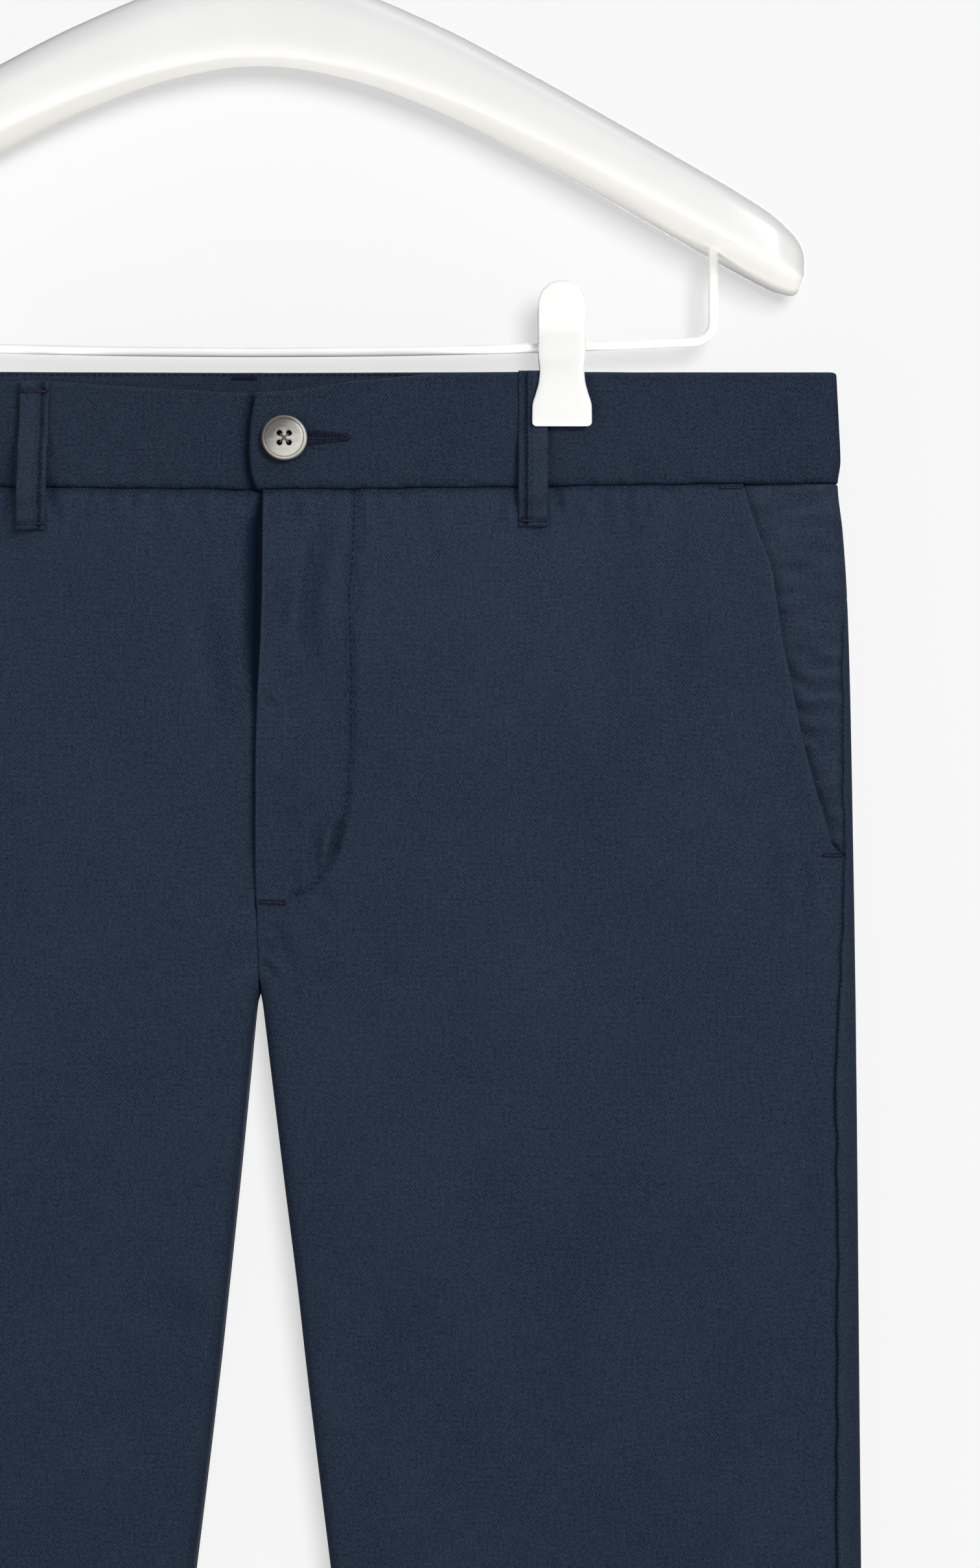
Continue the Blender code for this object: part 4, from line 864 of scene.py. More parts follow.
def make_back(label, side, material):
    rows = panel_rows(2.4)
    drops = rows[:, None]
    beyond = run((1.5,), (INNER_ZONE, 2.0))
    seam_steps = np.array(EDGE_STEPS) / SIDE_FOLD
    turns = np.concatenate((seam_steps[:-1], np.linspace(seam_steps[-1], 1.0, 16)))
    parts = len(turns) + len(beyond) + len(FOLD_ANGLES)
    count = 84 + (parts % 2 == 0)
    shares = np.arange(1, count + 1)[::-1] / (count + 1)
    grids = []
    for layer in (0.0, CLOTH):
        inset = wall_at(drops, layer)
        start = -seam_angle(drops) + EDGE / SIDE_FOLD
        angles = start + (math.pi / 2 - start) * turns
        fold, width = section("fold", drops), section("width", drops)
        edge = back_edge(side, drops)
        turned_in = inset * ease((drops - CROTCH + 6.0) / 6.0)
        low = side * edge + turned_in + (INSEAM_FOLD - turned_in) * (1.0 - np.cos(FOLD_ANGLES))
        low = np.concatenate((low, low[:, -1:] + beyond), axis=1)[:, ::-1]
        middle = low[:, :1] + (width - fold - low[:, :1]) * shares
        x = np.concatenate((middle, low), axis=1)
        if layer == 0.0:
            outside = x
            lift = back_lift(side, x, drops)
            from_seam = (angles - start) * SIDE_FOLD
            # Painted shade in the side seam's groove, a painted highlight on the fold's front
            # half, and painted shade and highlight that follow the relief
            groove = -0.6 * bell(from_seam, 0.7) * ease((drops - 90.0) / 8.0)
            strip_painted_light = groove - 0.13 * np.clip(angles / 0.4, -1.0, 0.0)
            tone = np.concatenate((strip_painted_light, 0.15 * soft_relief(1, side, x, drops)), axis=1)
            round_lift = -0.9 * np.exp(-from_seam) * ease((math.pi / 2 - angles) / 0.3)
            round_lift = round_lift + back_lift(side, width - fold, drops)
            plain = (fold_point(side, angles, drops), skin(side, x, drops, 1))
            plain = np.concatenate(plain, axis=1)
        grids.append(np.concatenate((fold_point(side, angles, drops, inset, round_lift),
                                     skin(side, x, drops, 1, inset, 0.0, lift)), axis=1))
    outer, inner = rounded_edges(grids[0], grids[1], (0.85, HEM_ROLL, SIDE_ROLL, ALLOWANCE_ROLL))
    column = len(turns) + len(shares) // 2
    start = -side * outside[:, column - len(turns):column - len(turns) + 1]
    uv = cloth_uv(plain, drops, column, start, side)
    piece = shell("back_cloth_" + label, outer, inner, uv, material, tone=tone)
    return finish_piece(piece, ["back_" + label])


# ---------------------------------------------------------------- waistband
BAND_ROLL = 1.15


def band_limits(face, across):
    """Where the band's top edge and its seam lie below the waist."""
    if face < 0:
        rise = BAND_RISE * ease((np.abs(across) - 8.0) / 30.0)
        return read(FRONT_TOP, 1, across) - rise, seam_drop(across)
    rise = BAND_RISE + BACK_RISE * ease((204.0 - np.abs(across)) / 90.0)
    return -rise, BAND_HEIGHT + 0.0 * across


HOLE = {"start": 8.4, "end": 24.0, "drop": 24.6, "rise": -0.6}   # slit, from the button's middle


def hole_line(across):
    """Drop of the buttonhole's slit, which rises a little to its end."""
    return HOLE["drop"] + HOLE["rise"] * (across - BUTTON["x"]) / HOLE["end"]


def band_lift(face, side, x, drop):
    """Relief of the waistband: rolled edges, loops, clips, button, buttonhole and overlap."""
    across = side * x
    top, bottom = band_limits(face, across)
    total = 0.45 * soft_relief(face, side, x, drop)
    up = np.maximum(bottom - drop, 0.0)
    pucker = uneven(across, drop * 0.25, PUCKER[face]) * np.exp(-up / 5.0) * ease(up / 2.0)
    total = total + 0.70 * pucker - 1.1 * np.exp(-up / 1.4)
    total = total + 0.30 * bell(drop - top - 1.6, 1.1)
    for _, loop_face, loop_across, _, _, lean, _, _, _ in LOOPS:
        if loop_face == face:
            aside = np.abs(across - loop_across - lean * drop / 57.0)
            total = total + 0.22 * bell(aside - LOOP["width"] / 2 - 2.6, 1.8) * ease(up / 6.0)
    if face < 0:
        beside = np.abs(np.abs(across) - CLIP_X)
        total = total + 0.30 * bell(beside - 14.5, 3.5) * bell(drop - 12.0, 14.0)
        total = total + 0.22 * bell(beside, 9.0) * bell(drop - 26.0, 4.0)
    else:
        total = total - 0.3 * bell(across, 1.0)
    if face < 0 and side > 0:
        aside = np.hypot(across - BUTTON["x"], drop - BUTTON["drop"])
        total = total - 0.25 * bell(aside, 7.5)
        inside = ease((across - BUTTON["x"]) / 2.0)
        inside = inside * ease((BUTTON["x"] + HOLE["end"] - 2.0 - across) / 2.5)
        total = total - 0.9 * inside * bell(drop - hole_line(across), 0.45)
        total = total + 0.12 * inside * bell(np.abs(drop - hole_line(across)) - 1.6, 1.0)
        total = total + 0.25 * bell(across - read(BAND_EDGE, 1, drop) - 1.5, 2.5)
    if face < 0 and side < 0:
        total = total - 1.3 * bell(across - read(BAND_EDGE, 1, drop) + 0.8, 2.4)
    return total


def band_sink(across):
    share = ease((across - VALLEY_OUTER) / (VALLEY_INNER - VALLEY_OUTER))
    return (BAND + 0.25) * share


def make_waistband(label, side, material):
    steps = np.array(EDGE_STEPS) / BAND_HEIGHT
    shares = run(steps, (1.0 - steps[-1], 1.5 / BAND_HEIGHT))
    shares = odd(np.concatenate((shares, 1.0 - steps[-2::-1])))[:, None]
    ahead = run(EDGE_STEPS, (30.0, 0.9)) if side > 0 else run(EDGE_STEPS, (60.0, 1.6))
    front_count, back_count = 134, 118
    turns = np.radians(np.linspace(-90.0, 90.0, 21))
    back_steps = np.array(EDGE_STEPS[:-1])
    spread = np.arange(1, front_count + 1) / front_count
    behind = np.concatenate((np.linspace(1.0, 2.8 / 207.0, back_count), back_steps[::-1] / 207.0))
    columns = len(ahead) + front_count + len(turns) + len(behind)
    if columns % 2 == 0:
        behind = np.delete(behind, 0)
    grids = []
    for layer in (0.0, BAND):
        top, bottom = band_limits(-1, np.zeros(1))
        end_drop = top + (bottom - top) * shares
        start = read(BAND_EDGE, 1, end_drop)
        if side < 0:
            start = np.full_like(start, -BAND_UNDERLAP)
        near = start + ahead
        near = np.concatenate((near, near[:, -1:] + (206.0 - near[:, -1:]) * spread), axis=1)
        top, bottom = band_limits(-1, side * near)
        drop = top + (bottom - EDGE - top) * shares
        sink = band_sink(side * near) if side < 0 else 0.0
        lift = band_lift(-1, side, near, drop)
        front = skin(side, near, drop, -1, layer, sink, lift)
        side_drop = (BAND_HEIGHT + BAND_RISE - EDGE) * shares - BAND_RISE
        up = BAND_HEIGHT - side_drop
        fold = fold_point(side, turns + 0.0 * shares, side_drop, layer, -0.95 * np.exp(-up))
        far = EDGE + behind * (207.0 - EDGE) + 0.0 * shares
        top, bottom = band_limits(1, side * far)
        far_drop = top + (bottom - EDGE - top) * shares
        lift = band_lift(1, side, far, far_drop)
        back = skin(side, far, far_drop, 1, layer, 0.0, lift)
        grids.append(np.concatenate((front, fold, back), axis=1))
        drops = np.concatenate((drop, side_drop + 0.0 * turns, far_drop), axis=1)
        if layer == 0.0:
            # Painted shade along the seam and beside the overlap's end on the right half, and
            # painted shade and highlight that follow the relief
            up = np.maximum(seam_drop(side * near) - drop, 0.0)
            groove = side * near - read(BAND_EDGE, 1, drop) + 1.0
            tone = -0.50 * bell(up, 1.5) - 0.9 * bell(groove, 2.2) * (side < 0)
            tone = tone + 0.30 * soft_relief(-1, side, near, drop)
            behind_painted_shade = -0.50 * bell(BAND_HEIGHT - side_drop, 1.5)
            behind_painted_shade = np.repeat(behind_painted_shade, len(turns) + far.shape[1], axis=1)
            tone = np.concatenate((tone, behind_painted_shade), axis=1)
            plain = (skin(side, near, drop, -1), fold_point(side, turns + 0.0 * shares, side_drop),
                     skin(side, far, far_drop, 1))
            plain = np.concatenate(plain, axis=1)
    outer, inner = rounded_edges(grids[0], grids[1], (BAND_ROLL, 0.85, BAND_ROLL, 0.6))
    column = len(ahead) + 20
    uv = cloth_uv(plain, drops, column, side * near[:, column:column + 1], side)
    # The top edge and the overlap's end are paler, partly from wear and partly as painted
    # highlight; the inner side is painted paler as painted light
    worn = (0.9, 0.0, 0.5, 0.0)
    piece = shell("waistband_cloth_" + label, outer, inner, uv, material, worn, tone, 0.3)
    return finish_piece(piece, ["waistband_" + label])


# ---------------------------------------------------------------- pockets and fly
def facing_under(drop):
    """How far the facing lies under the front's outer skin, more where the mouth closes."""
    return CLOTH + 0.5 + 0.7 * ease((drop - 164.0) / 10.0)


def make_facing(label, side, material):
    top = [BAND_HEIGHT + EDGE + step for step in EDGE_STEPS]
    drops = odd(run(top, (FACING_BOTTOM, 1.3)))[:, None]
    shown = 1.0 - (1.0 - np.linspace(0.0, 1.0, 31)) ** 1.7
    hidden = np.linspace(34.0, 0.0, 13)[:-1]
    grids = []
    for layer in (0.0, CLOTH):
        seam = section("width", drops) - seam_reach(drops)
        mouth = np.minimum(section("width", drops) - front_reach(drops), seam - 0.8)
        rise = 1.0 - ease((drops - 176.0) / 2.5)
        under = facing_under(drops)
        start = at_reach(drops, section("width", drops) - mouth, under + layer)
        hidden_x = start - hidden
        inset = under * (1.0 - ease(shown) * rise) + layer
        near = at_reach(drops, section("width", drops) - mouth, inset)
        end = at_reach(drops, seam_reach(drops), inset)
        shown_x = near + (end - near) * shown
        x = np.concatenate((hidden_x, shown_x), axis=1)
        inset = np.concatenate((under + layer + 0.0 * hidden_x, inset), axis=1)
        if layer == 0.0:
            outside = x
            drop = dipped(side * x, drops)
            plain = skin(side, x, drop, -1)
            lift = soft_relief(-1, side, x, drop) + below_seam(-1, side * x, drop)
            to_seam = end[:, -1:] - x
            lift = lift - 0.9 * np.exp(-to_seam) * ease((drops - 82.0) / 8.0)
            lift = lift + 0.35 * bell(to_seam - 2.2, 1.4) * ease((drops - 82.0) / 8.0)
            ripple = uneven(drop, side * x * 0.3, PUCKER[-1])
            lift = lift + (0.20 + 0.22 * ease((drops - 90.0) / 30.0)) * ripple
            from_mouth = np.maximum(x - near[:, :1], 0.0)
            deep = 0.7 + 0.2 * uneven(drop, 0.0, SEAM_WANDER)
            lift = lift - deep * bell(from_mouth, 2.6) * ease((172.0 - drops) / 12.0)
            # Painted shade and highlight: following the relief and ripples, painted shade beside
            # the mouth, a painted highlight along the side's edge higher up and painted shade in
            # the side seam lower down
            tone = 0.20 * soft_relief(-1, side, x, drop) + 0.14 * ripple
            tone = tone - 0.12 * bell(from_mouth, 2.0)
            seamed = ease((drops - 88.0) / 6.0)
            tone = tone + bell(to_seam, 1.1) * (0.45 - 1.3 * seamed)
        grids.append(skin(side, x, drop, -1, inset, 0.0, lift))
    outer, inner = rounded_edges(grids[0], grids[1], (0.85, 0.6, 0.6, SIDE_ROLL))
    column = len(hidden)
    uv = cloth_uv(plain, drop, column, side * outside[:, column:column + 1], side)
    piece = shell("pocket_facing_cloth_" + label, outer, inner, uv, material, tone=tone)
    return finish_piece(piece, ["pocket_facing_" + label])


def fly_strip(across, drops, depths):
    """Places on a strip under the fly, at depths under the sunk right front's outer skin."""
    drop = dipped(across, drops)
    depth = read(FLY_DEPTH, 1, drops) + depths - stand_off(-1, across, drop)
    return place(across, depth, drop), drop


def fly_sheet(name, reach, step, under, thick, roll, material, node):
    """A sheet hidden under the fly, between two places across."""
    drops = odd(run((44.0,), (188.0, 2.0)))[:, None]
    across = odd(run((reach["from"],), (reach["to"], step)))[None, :]
    outer, drop = fly_strip(across, drops, under(across, drops))
    inner, _ = fly_strip(across, drops, under(across, drops) + thick)
    uv = cloth_uv(outer, drop, 6, across[:, 6:7] + 0.0 * drops, 1)
    piece = shell(name, *rounded_edges(outer, inner, (roll,) * 4), uv, material)
    return finish_piece(piece, [node])


def make_shield(material):
    def under(across, drops):
        return CLOTH + 0.4 + fly_trough(across, drops)

    return fly_sheet("fly_shield_cloth", SHIELD, 1.5, under, CLOTH, 0.7, material,
                     "fly_shield")


def make_zip(tape, coil):
    """The zip's tape, and its closed coil as two rows of small teeth that mesh."""
    piece = fly_sheet("fly_zip_tape", ZIP, 1.0, lambda across, drops: 0.3, ZIP["tape"], 0.4, tape,
                      "fly_zip")
    middle = (ZIP["teeth_from"] + ZIP["teeth_to"]) / 2
    threads = Threads()
    pitch = 1.3
    for k in range(int((186.0 - 48.0) / pitch)):
        for side in (-1, 1):
            row = 48.0 + pitch * (k + 0.25 * (side + 1))
            ends = [place(middle + side * reach, read(FLY_DEPTH, 1, row) - 0.15
                          - stand_off(-1, middle, row), row) for reach in (-0.3, 1.7)]
            threads.add(ends[0], ends[1], np.array((0.0, -1.0, 0.0)), 0.42 * MM, 0.0)
    finish_piece(threads.build("fly_zip_teeth", coil))
    return piece


# ---------------------------------------------------------------- stitches
def along_path(path, outward):
    """A path's length, and a function that gives the point and direction at a length."""
    steps = np.linalg.norm(np.diff(path, axis=0), axis=1)
    walk = np.concatenate(([0.0], np.cumsum(steps)))

    def at(length):
        return [np.array([np.interp(length, walk, values[:, k]) for k in range(3)])
                for values in (path, outward)]

    return walk[-1], at


def tube_faces(rings, sides):
    """Faces round a tube of rings, each of as many points."""
    return [(ring * sides + k, ring * sides + (k + 1) % sides,
             (ring + 1) * sides + (k + 1) % sides, (ring + 1) * sides + k)
            for ring in range(rings - 1) for k in range(sides)]


class Threads:
    """Short stitches, gathered into one mesh."""

    STATIONS = np.array((0.0, 0.16, 0.5, 0.84, 1.0))
    WIDTHS = np.array((0.5, 1.0, 1.0, 1.0, 0.5))
    RISES = np.array((-0.9, 0.1, 0.5, 0.1, -0.9))
    SIDES = 6

    def __init__(self):
        self.rows = []

    def add(self, start, end, outward, radius, lift=0.0):
        self.rows.append(np.concatenate((start, end, outward, (radius, lift))))

    def sew(self, path, outward, pitch, share, radius, lift):
        """Stitches along a line of points, each a share of the pitch long."""
        total, at = along_path(path, outward)
        for start in np.arange(0.25 * pitch, total - pitch * share, pitch):
            here, out = at(start)
            self.add(here, at(start + pitch * share)[0], out, radius, lift)

    def bartack(self, path, outward, height, radius, over):
        """A dense bar along a line of points, and a long thread over it in another mesh."""
        total, at = along_path(path, outward)
        axis = (path[-1] - path[0]) / np.linalg.norm(path[-1] - path[0])
        count = max(4, int(total / (radius * 1.7)))
        for k in range(count + 1):
            middle, out = at(total * k / count)
            lean = axis * radius * (0.8 if k % 2 else -0.8)
            reach = np.cross(axis, out) * height * (0.5 + 0.08 * math.sin(k * 2.4))
            self.add(middle - reach - lean, middle + reach + lean, out, radius, 0.4 * radius)
        for part in range(4):
            ends = [at(total * (0.06 + 0.9 * (part + more) / 4)) for more in (0.0, 1.0)]
            start, end = (point + np.cross(axis, out) * height * 0.05 * (part % 2 - 0.5)
                          + out * radius * 1.2 for point, out in ends)
            over.add(start, end, ends[0][1], radius * 0.8, 0.4 * radius)

    def build(self, name, material):
        rows = np.array(self.rows)
        start, end, out = rows[:, 0:3], rows[:, 3:6], rows[:, 6:9]
        radius, lift = rows[:, 9, None], rows[:, 10, None]
        axis = end - start
        axis = axis / np.linalg.norm(axis, axis=1)[:, None]
        out = out - axis * (axis * out).sum(1)[:, None]
        out = out / np.linalg.norm(out, axis=1)[:, None]
        other = np.cross(axis, out)
        rings = []
        for t, width, rise in zip(self.STATIONS, self.WIDTHS, self.RISES):
            centre = start + (end - start) * t + out * (lift + rise * radius)
            rings += circle(centre, width * radius, other, out, around(self.SIDES))
        points = np.stack(rings, axis=1).reshape(-1, 3)
        per = self.SIDES * len(self.STATIONS)
        one = [(a, d, c, b) for a, b, c, d in tube_faces(len(self.STATIONS), self.SIDES)]
        caps = [tuple(range(self.SIDES)), tuple(range(per - 1, per - 1 - self.SIDES, -1))]
        faces = []
        for base in range(0, len(rows) * per, per):
            faces += [tuple(base + i for i in face) for face in one + caps]
        uv = np.repeat(np.arange(len(rows)) * 0.0037, per)
        along = np.tile(np.repeat(self.STATIONS, self.SIDES) * 0.002, len(rows))
        return mesh_object(name, points, faces, material, np.stack((uv, along), axis=1))


def on_cloth(face, across, drop, lift, inset=0.0):
    """Points on a panel or band, and the directions in which it faces there."""
    across, drop = np.broadcast_arrays(np.asarray(across, float), np.asarray(drop, float))

    def at(x, z):
        side = np.where(x >= 0, 1, -1)
        return skin(side, np.abs(x), z, face, inset, 0.0, lift(x, z))

    here, step = at(across, drop), 0.25
    normal = np.cross(at(across + step, drop) - here, at(across, drop + step) - here)
    normal = normal / np.linalg.norm(normal, axis=-1)[..., None]
    outward = face if inset == 0.0 else -face
    return here, normal * np.sign(normal[..., 1:2]) * outward


# ---------------------------------------------------------------- belt loops
def loop_stand(face, across, drop):
    """How far a loop's underside stands off the middle plane."""
    reach, half = 2.5, LOOP["width"] / 2
    stands = [stand_off(face, across + dx, np.maximum(drop + dz, 0.5))
              for dx in (-half, 0.0, half) for dz in (-reach, 0.0, reach)]
    opened = ease((drop - LOOP["slot_top"]) / 7.0) * ease((LOOP["slot_bottom"] - drop) / 7.0)
    return np.max(stands, axis=0) + 0.3 + LOOP["slot"] * opened


def past_edge(row, aside):
    """How far a place lies past a loop's folded edge, away from the stitched part."""
    edge, stitches = row[6:8]
    return (aside - edge) * math.copysign(1.0, edge - stitches)


def loop_surface(row, aside, share, inset):
    """Points on a loop, its folded edge standing a little above the layer beside it."""
    _, face, across, top, bottom, lean, _, stitches, bartack = row
    drop = top + (bottom - top) * share
    middle = across + lean * share
    stand = loop_stand(face, middle, drop) + LOOP["cloth"] - inset
    if inset == 0.0:
        beyond = past_edge(row, aside)
        stand = stand + 0.85 * ease(0.5 - beyond / 0.4) - 0.3
        stand = stand - 0.45 * bell(aside - stitches, 0.5) - 0.7 * bell(beyond - 0.5, 0.6)
        stand = stand + 0.12 * uneven(aside * 0.5, drop, PUCKER[face])
        for tack in (bartack, bottom - 2.2):
            if tack:
                stand = stand - 0.7 * bell(drop - tack, 1.0)
    narrow = 1.0 + 0.012 * np.sin(drop * 0.33 + across)
    return place(middle + aside * narrow, face * stand, drop)


def loop_painted_light(row, aside, drop):
    """Painted light on a loop: a painted highlight on its raised part, and painted shade in its
    grooves and under its bars.
    """
    bottom, stitches, bartack = row[4], row[7], row[8]
    beyond = past_edge(row, aside)
    tone = 0.42 - 0.38 * ease(0.5 + beyond / 0.4) - 0.8 * bell(beyond - 0.5, 0.7)
    tone = tone - 0.4 * bell(aside - stitches, 0.55)
    for tack in (bartack, bottom - 2.2):
        if tack:
            tone = tone - 0.6 * bell(drop - tack, 1.2)
    return tone


def make_loop(row, material):
    half, length = LOOP["width"] / 2, row[4] - row[3]
    edge = np.array(EDGE_STEPS)
    aside = run(-half + edge, (half - edge[-1], 0.35))
    aside = odd(np.concatenate((aside, half - edge[-2::-1])))[None, :]
    share = run(edge / length, (1.0 - edge[-1] / length, 0.9 / length))
    share = odd(np.concatenate((share, 1.0 - edge[-2::-1] / length)))[:, None]
    outer = loop_surface(row, aside, share, 0.0)
    inner = loop_surface(row, aside, share, LOOP["cloth"])
    drop = row[3] + length * share
    face = row[1]
    u = -face * (row[2] + aside) * MM + 0.0 * drop
    uv = np.stack((u, -drop * MM + 0.0 * aside + 0.031), axis=-1)
    rolled = rounded_edges(outer, inner, (0.75, 0.75, 0.75, 0.75))
    name = row[0].replace("belt_loop", "loop_cloth")
    # Its edges are paler, partly from wear and partly as painted highlight; the last value adds
    # painted highlight and shade
    piece = shell(name, *rolled, uv, material, (0.3, 0.3, 0.4, 0.4), loop_painted_light(row, aside, drop))
    return finish_piece(piece, [row[0]])


def stitch_loop(threads, tacks, over, row):
    _, face, _, top, bottom, _, _, stitches, bartack = row
    length = bottom - top
    share = np.linspace(2.0 / length, 1.0 - 2.8 / length, 90)
    path = loop_surface(row, stitches + 0.0 * share, share, 0.0)
    out = np.tile((0.0, float(face), 0.0), (len(share), 1))
    threads.sew(path, out, 2.5 * MM, 0.74, 0.2 * MM, 0.1 * MM)
    for drop in (bartack, bottom - 2.2):
        if drop:
            ends = [loop_surface(row, np.array(reach), np.array((drop - top) / length), 0.0)
                    for reach in (-LOOP["width"] / 2 + 0.7, LOOP["width"] / 2 - 0.7)]
            lift = np.array((0.0, face * 0.25 * MM, 0.0))
            out = np.tile((0.0, float(face), 0.0), (2, 1))
            tacks.bartack(np.array(ends) + lift, out, 1.5 * MM, 0.2 * MM, over)


# ---------------------------------------------------------------- button
def joined(name, parts, material):
    """One mesh from several lists of points and faces."""
    points, faces = [], []
    for more_points, more_faces in parts:
        base = len(points)
        points += [tuple(point) for point in more_points]
        faces += [tuple(base + i for i in face) for face in more_faces]
    return mesh_object(name, np.array(points), faces, material)


def rings_mesh(rings):
    """Points and faces of a closed solid through rings of as many points each."""
    sides = len(rings[0])
    points = [point for ring in rings for point in ring]
    caps = [tuple(range(sides - 1, -1, -1)), tuple(range(len(points) - sides, len(points)))]
    return points, caps + tube_faces(len(rings), sides)


def outward_faces(obj, degrees=50.0):
    """Faces turned to face out, smooth but for true edges."""
    shape = bmesh.new()
    shape.from_mesh(obj.data)
    bmesh.ops.recalc_face_normals(shape, faces=shape.faces)
    shape.to_mesh(obj.data)
    shape.free()
    obj.data.shade_smooth()
    obj.data.set_sharp_from_angle(angle=math.radians(degrees))
    return obj


def button_frame():
    """The point on the band under the button, the way it faces, and two axes across it."""
    x, drop = BUTTON["x"], BUTTON["drop"]
    step = BUTTON["radius"] / 2
    here = place(x, -stand_off(-1, x, drop), drop)
    ends = [place(x + s, -stand_off(-1, x + s, drop), drop) for s in (-step, step)]
    aside = (ends[1] - ends[0]) / np.linalg.norm(ends[1] - ends[0])
    up = np.array((0.0, 0.0, 1.0))
    return here, np.cross(aside, up), aside, up


BUTTON_PROFILE = (
    # share of the radius, height above the back
    (0.0, 0.0), (0.62, 0.0), (0.80, 0.22), (0.93, 0.75), (0.985, 1.3), (1.0, 1.75), (0.993, 2.2),
    (0.972, 2.62), (0.945, 2.88), (0.915, 2.98), (0.885, 2.93), (0.862, 2.76), (0.846, 2.55),
    (0.832, 2.47), (0.812, 2.52), (0.78, 2.60), (0.74, 2.62), (0.66, 2.56), (0.54, 2.42),
    (0.42, 2.30), (0.28, 2.22), (0.12, 2.20), (0.0, 2.20),
)


def make_button(material):
    here, outward, aside, up = button_frame()
    turns = around(72)
    rings = []
    for share, height in BUTTON_PROFILE:
        reach = max(share, 0.02) * BUTTON["radius"] * MM
        centre = here + outward * (BUTTON["lift"] + height) * MM
        rings.append(circle(centre, reach, aside, up, turns))
    button = joined("button_horn", [rings_mesh(rings)], material)
    outward_faces(button)
    half, drill = BUTTON["holes"] / 2, BUTTON["hole_radius"]
    parts = []
    for dx in (-half, half):
        for dz in (-half, half):
            centre = here + (aside * dx + up * dz) * MM
            rings = []
            for height, radius in ((-1.0, drill), (2.30, drill), (2.75, drill + 0.5)):
                level = centre + outward * height * MM
                rings.append(circle(level, radius * MM, aside, up, turns[::3]))
            parts.append(rings_mesh(rings))
    drills = joined("drills", parts, material)
    outward_faces(drills)
    cut = button.modifiers.new("Holes", "BOOLEAN")
    cut.operation, cut.solver, cut.object = "DIFFERENCE", "EXACT", drills
    bpy.context.view_layer.update()
    graph = bpy.context.evaluated_depsgraph_get()
    mesh = bpy.data.meshes.new_from_object(button.evaluated_get(graph))
    button.modifiers.clear()
    button.data = mesh
    bpy.data.objects.remove(drills, do_unlink=True)
    outward_faces(button, 35.0)
    local = np.array([v.co for v in mesh.vertices]) - here
    lay_cloth(mesh, np.stack((local @ aside, local @ up), axis=1))
    return finish_piece(button, ["button"])


def make_button_thread(material):
    """Thread crossed between the holes, and the shank underneath."""
    here, outward, aside, up = button_frame()
    threads = Threads()
    half = BUTTON["holes"] / 2 - 0.42
    for turn, height in ((1.0, 2.78), (-1.0, 2.98)):
        for shift in (-0.13, 0.13):
            drift = (aside * shift - up * shift * turn) * MM
            level = outward * (height - 0.12 * abs(shift)) * MM
            corner = (aside * half + up * half * turn) * MM
            threads.add(here - corner + drift + level, here + corner + drift + level, outward,
                        0.18 * MM, -0.02 * MM)
            for way in (-1.0, 1.0):
                top = here + corner * way + drift + level - outward * 0.15 * MM
                threads.add(top, top + corner * way * 0.16 - outward * 2.2 * MM,
                            corner / np.linalg.norm(corner), 0.18 * MM)
    for foot in circle(here, 0.6 * MM, aside, up, around(7)):
        threads.add(foot - outward * 2.2 * MM, foot + outward * 0.9 * MM, aside, 0.34 * MM)
    return finish_piece(threads.build("button_sewing", material), ["button_thread"])


def make_buttonhole(material, knot_material):
    """The buttonhole's dense stitches on both sides of its slit, knotted along it."""
    threads, knots = Threads(), Threads()

    def lift(x, z):
        return band_lift(-1, 1, x, z)

    start, end = BUTTON["x"] + HOLE["start"], BUTTON["x"] + HOLE["end"]
    count = 34
    for k in range(count + 1):
        x = start + (end - 1.2 - start) * k / count
        taper = 1.0 - 0.45 * ease((x - start) / (end - start))
        for way in (-1, 1):
            slit = hole_line(x)
            reach = (2.85 + 0.2 * math.sin(k * 2.1 + way)) * taper
            places = np.array(((x, slit + way * 0.25), (x + 0.15, slit + way * reach)))
            points, out = on_cloth(-1, places[:, 0], places[:, 1], lift)
            threads.add(points[0], points[1], out[1], 0.22 * MM, 0.25 * MM)
            if k % 3:
                knot = np.array(((x, slit + way * 0.55), (x + 0.3, slit + way * 0.6)))
                points, out = on_cloth(-1, knot[:, 0], knot[:, 1], lift)
                knots.add(points[0], points[1], out[1], 0.17 * MM, 0.5 * MM)
    for k in range(9):
        x = end - 1.4 + 0.17 * k
        reach = 1.35 - 0.09 * k
        places = np.array(((x, hole_line(x) - reach), (x, hole_line(x) + reach)))
        points, out = on_cloth(-1, places[:, 0], places[:, 1], lift)
        threads.add(points[0], points[1], out[0], 0.21 * MM, 0.3 * MM)
    finish_piece(knots.build("buttonhole_knots", knot_material))
    return finish_piece(threads.build("buttonhole_stitches", material))


# ---------------------------------------------------------------- hanger
def make_arm(material):
    """One moulded arm from tip to tip, its underside sloping back."""
    half = np.concatenate((np.linspace(0.0, 188.0, 48), np.linspace(190.0, 201.6, 14)))
    stations = np.concatenate((-half[:0:-1], half))
    rings = []
    turns = around(64) + math.pi / 64
    c, s = np.cos(turns), np.sin(turns)
    power = np.where(s > 0, 2.0 / 2.6, 2.0 / 6.0)
    for across in stations:
        middle, height, depth = (float(read(ARM, k, abs(across))) for k in (1, 2, 3))
        y = depth / 2 * np.sign(c) * np.abs(c) ** power
        z = height / 2 * np.sign(s) * np.abs(s) ** power
        z = z - (s < 0) * ARM_TILT * (y / depth + 0.5) * min(1.0, depth / 30.0)
        rings.append(place(across, y, -middle - z))
    arm = joined("hanger_arm_moulding", [rings_mesh(rings)], material)
    return finish_piece(outward_faces(arm, 60.0), ["hanger_arm"])


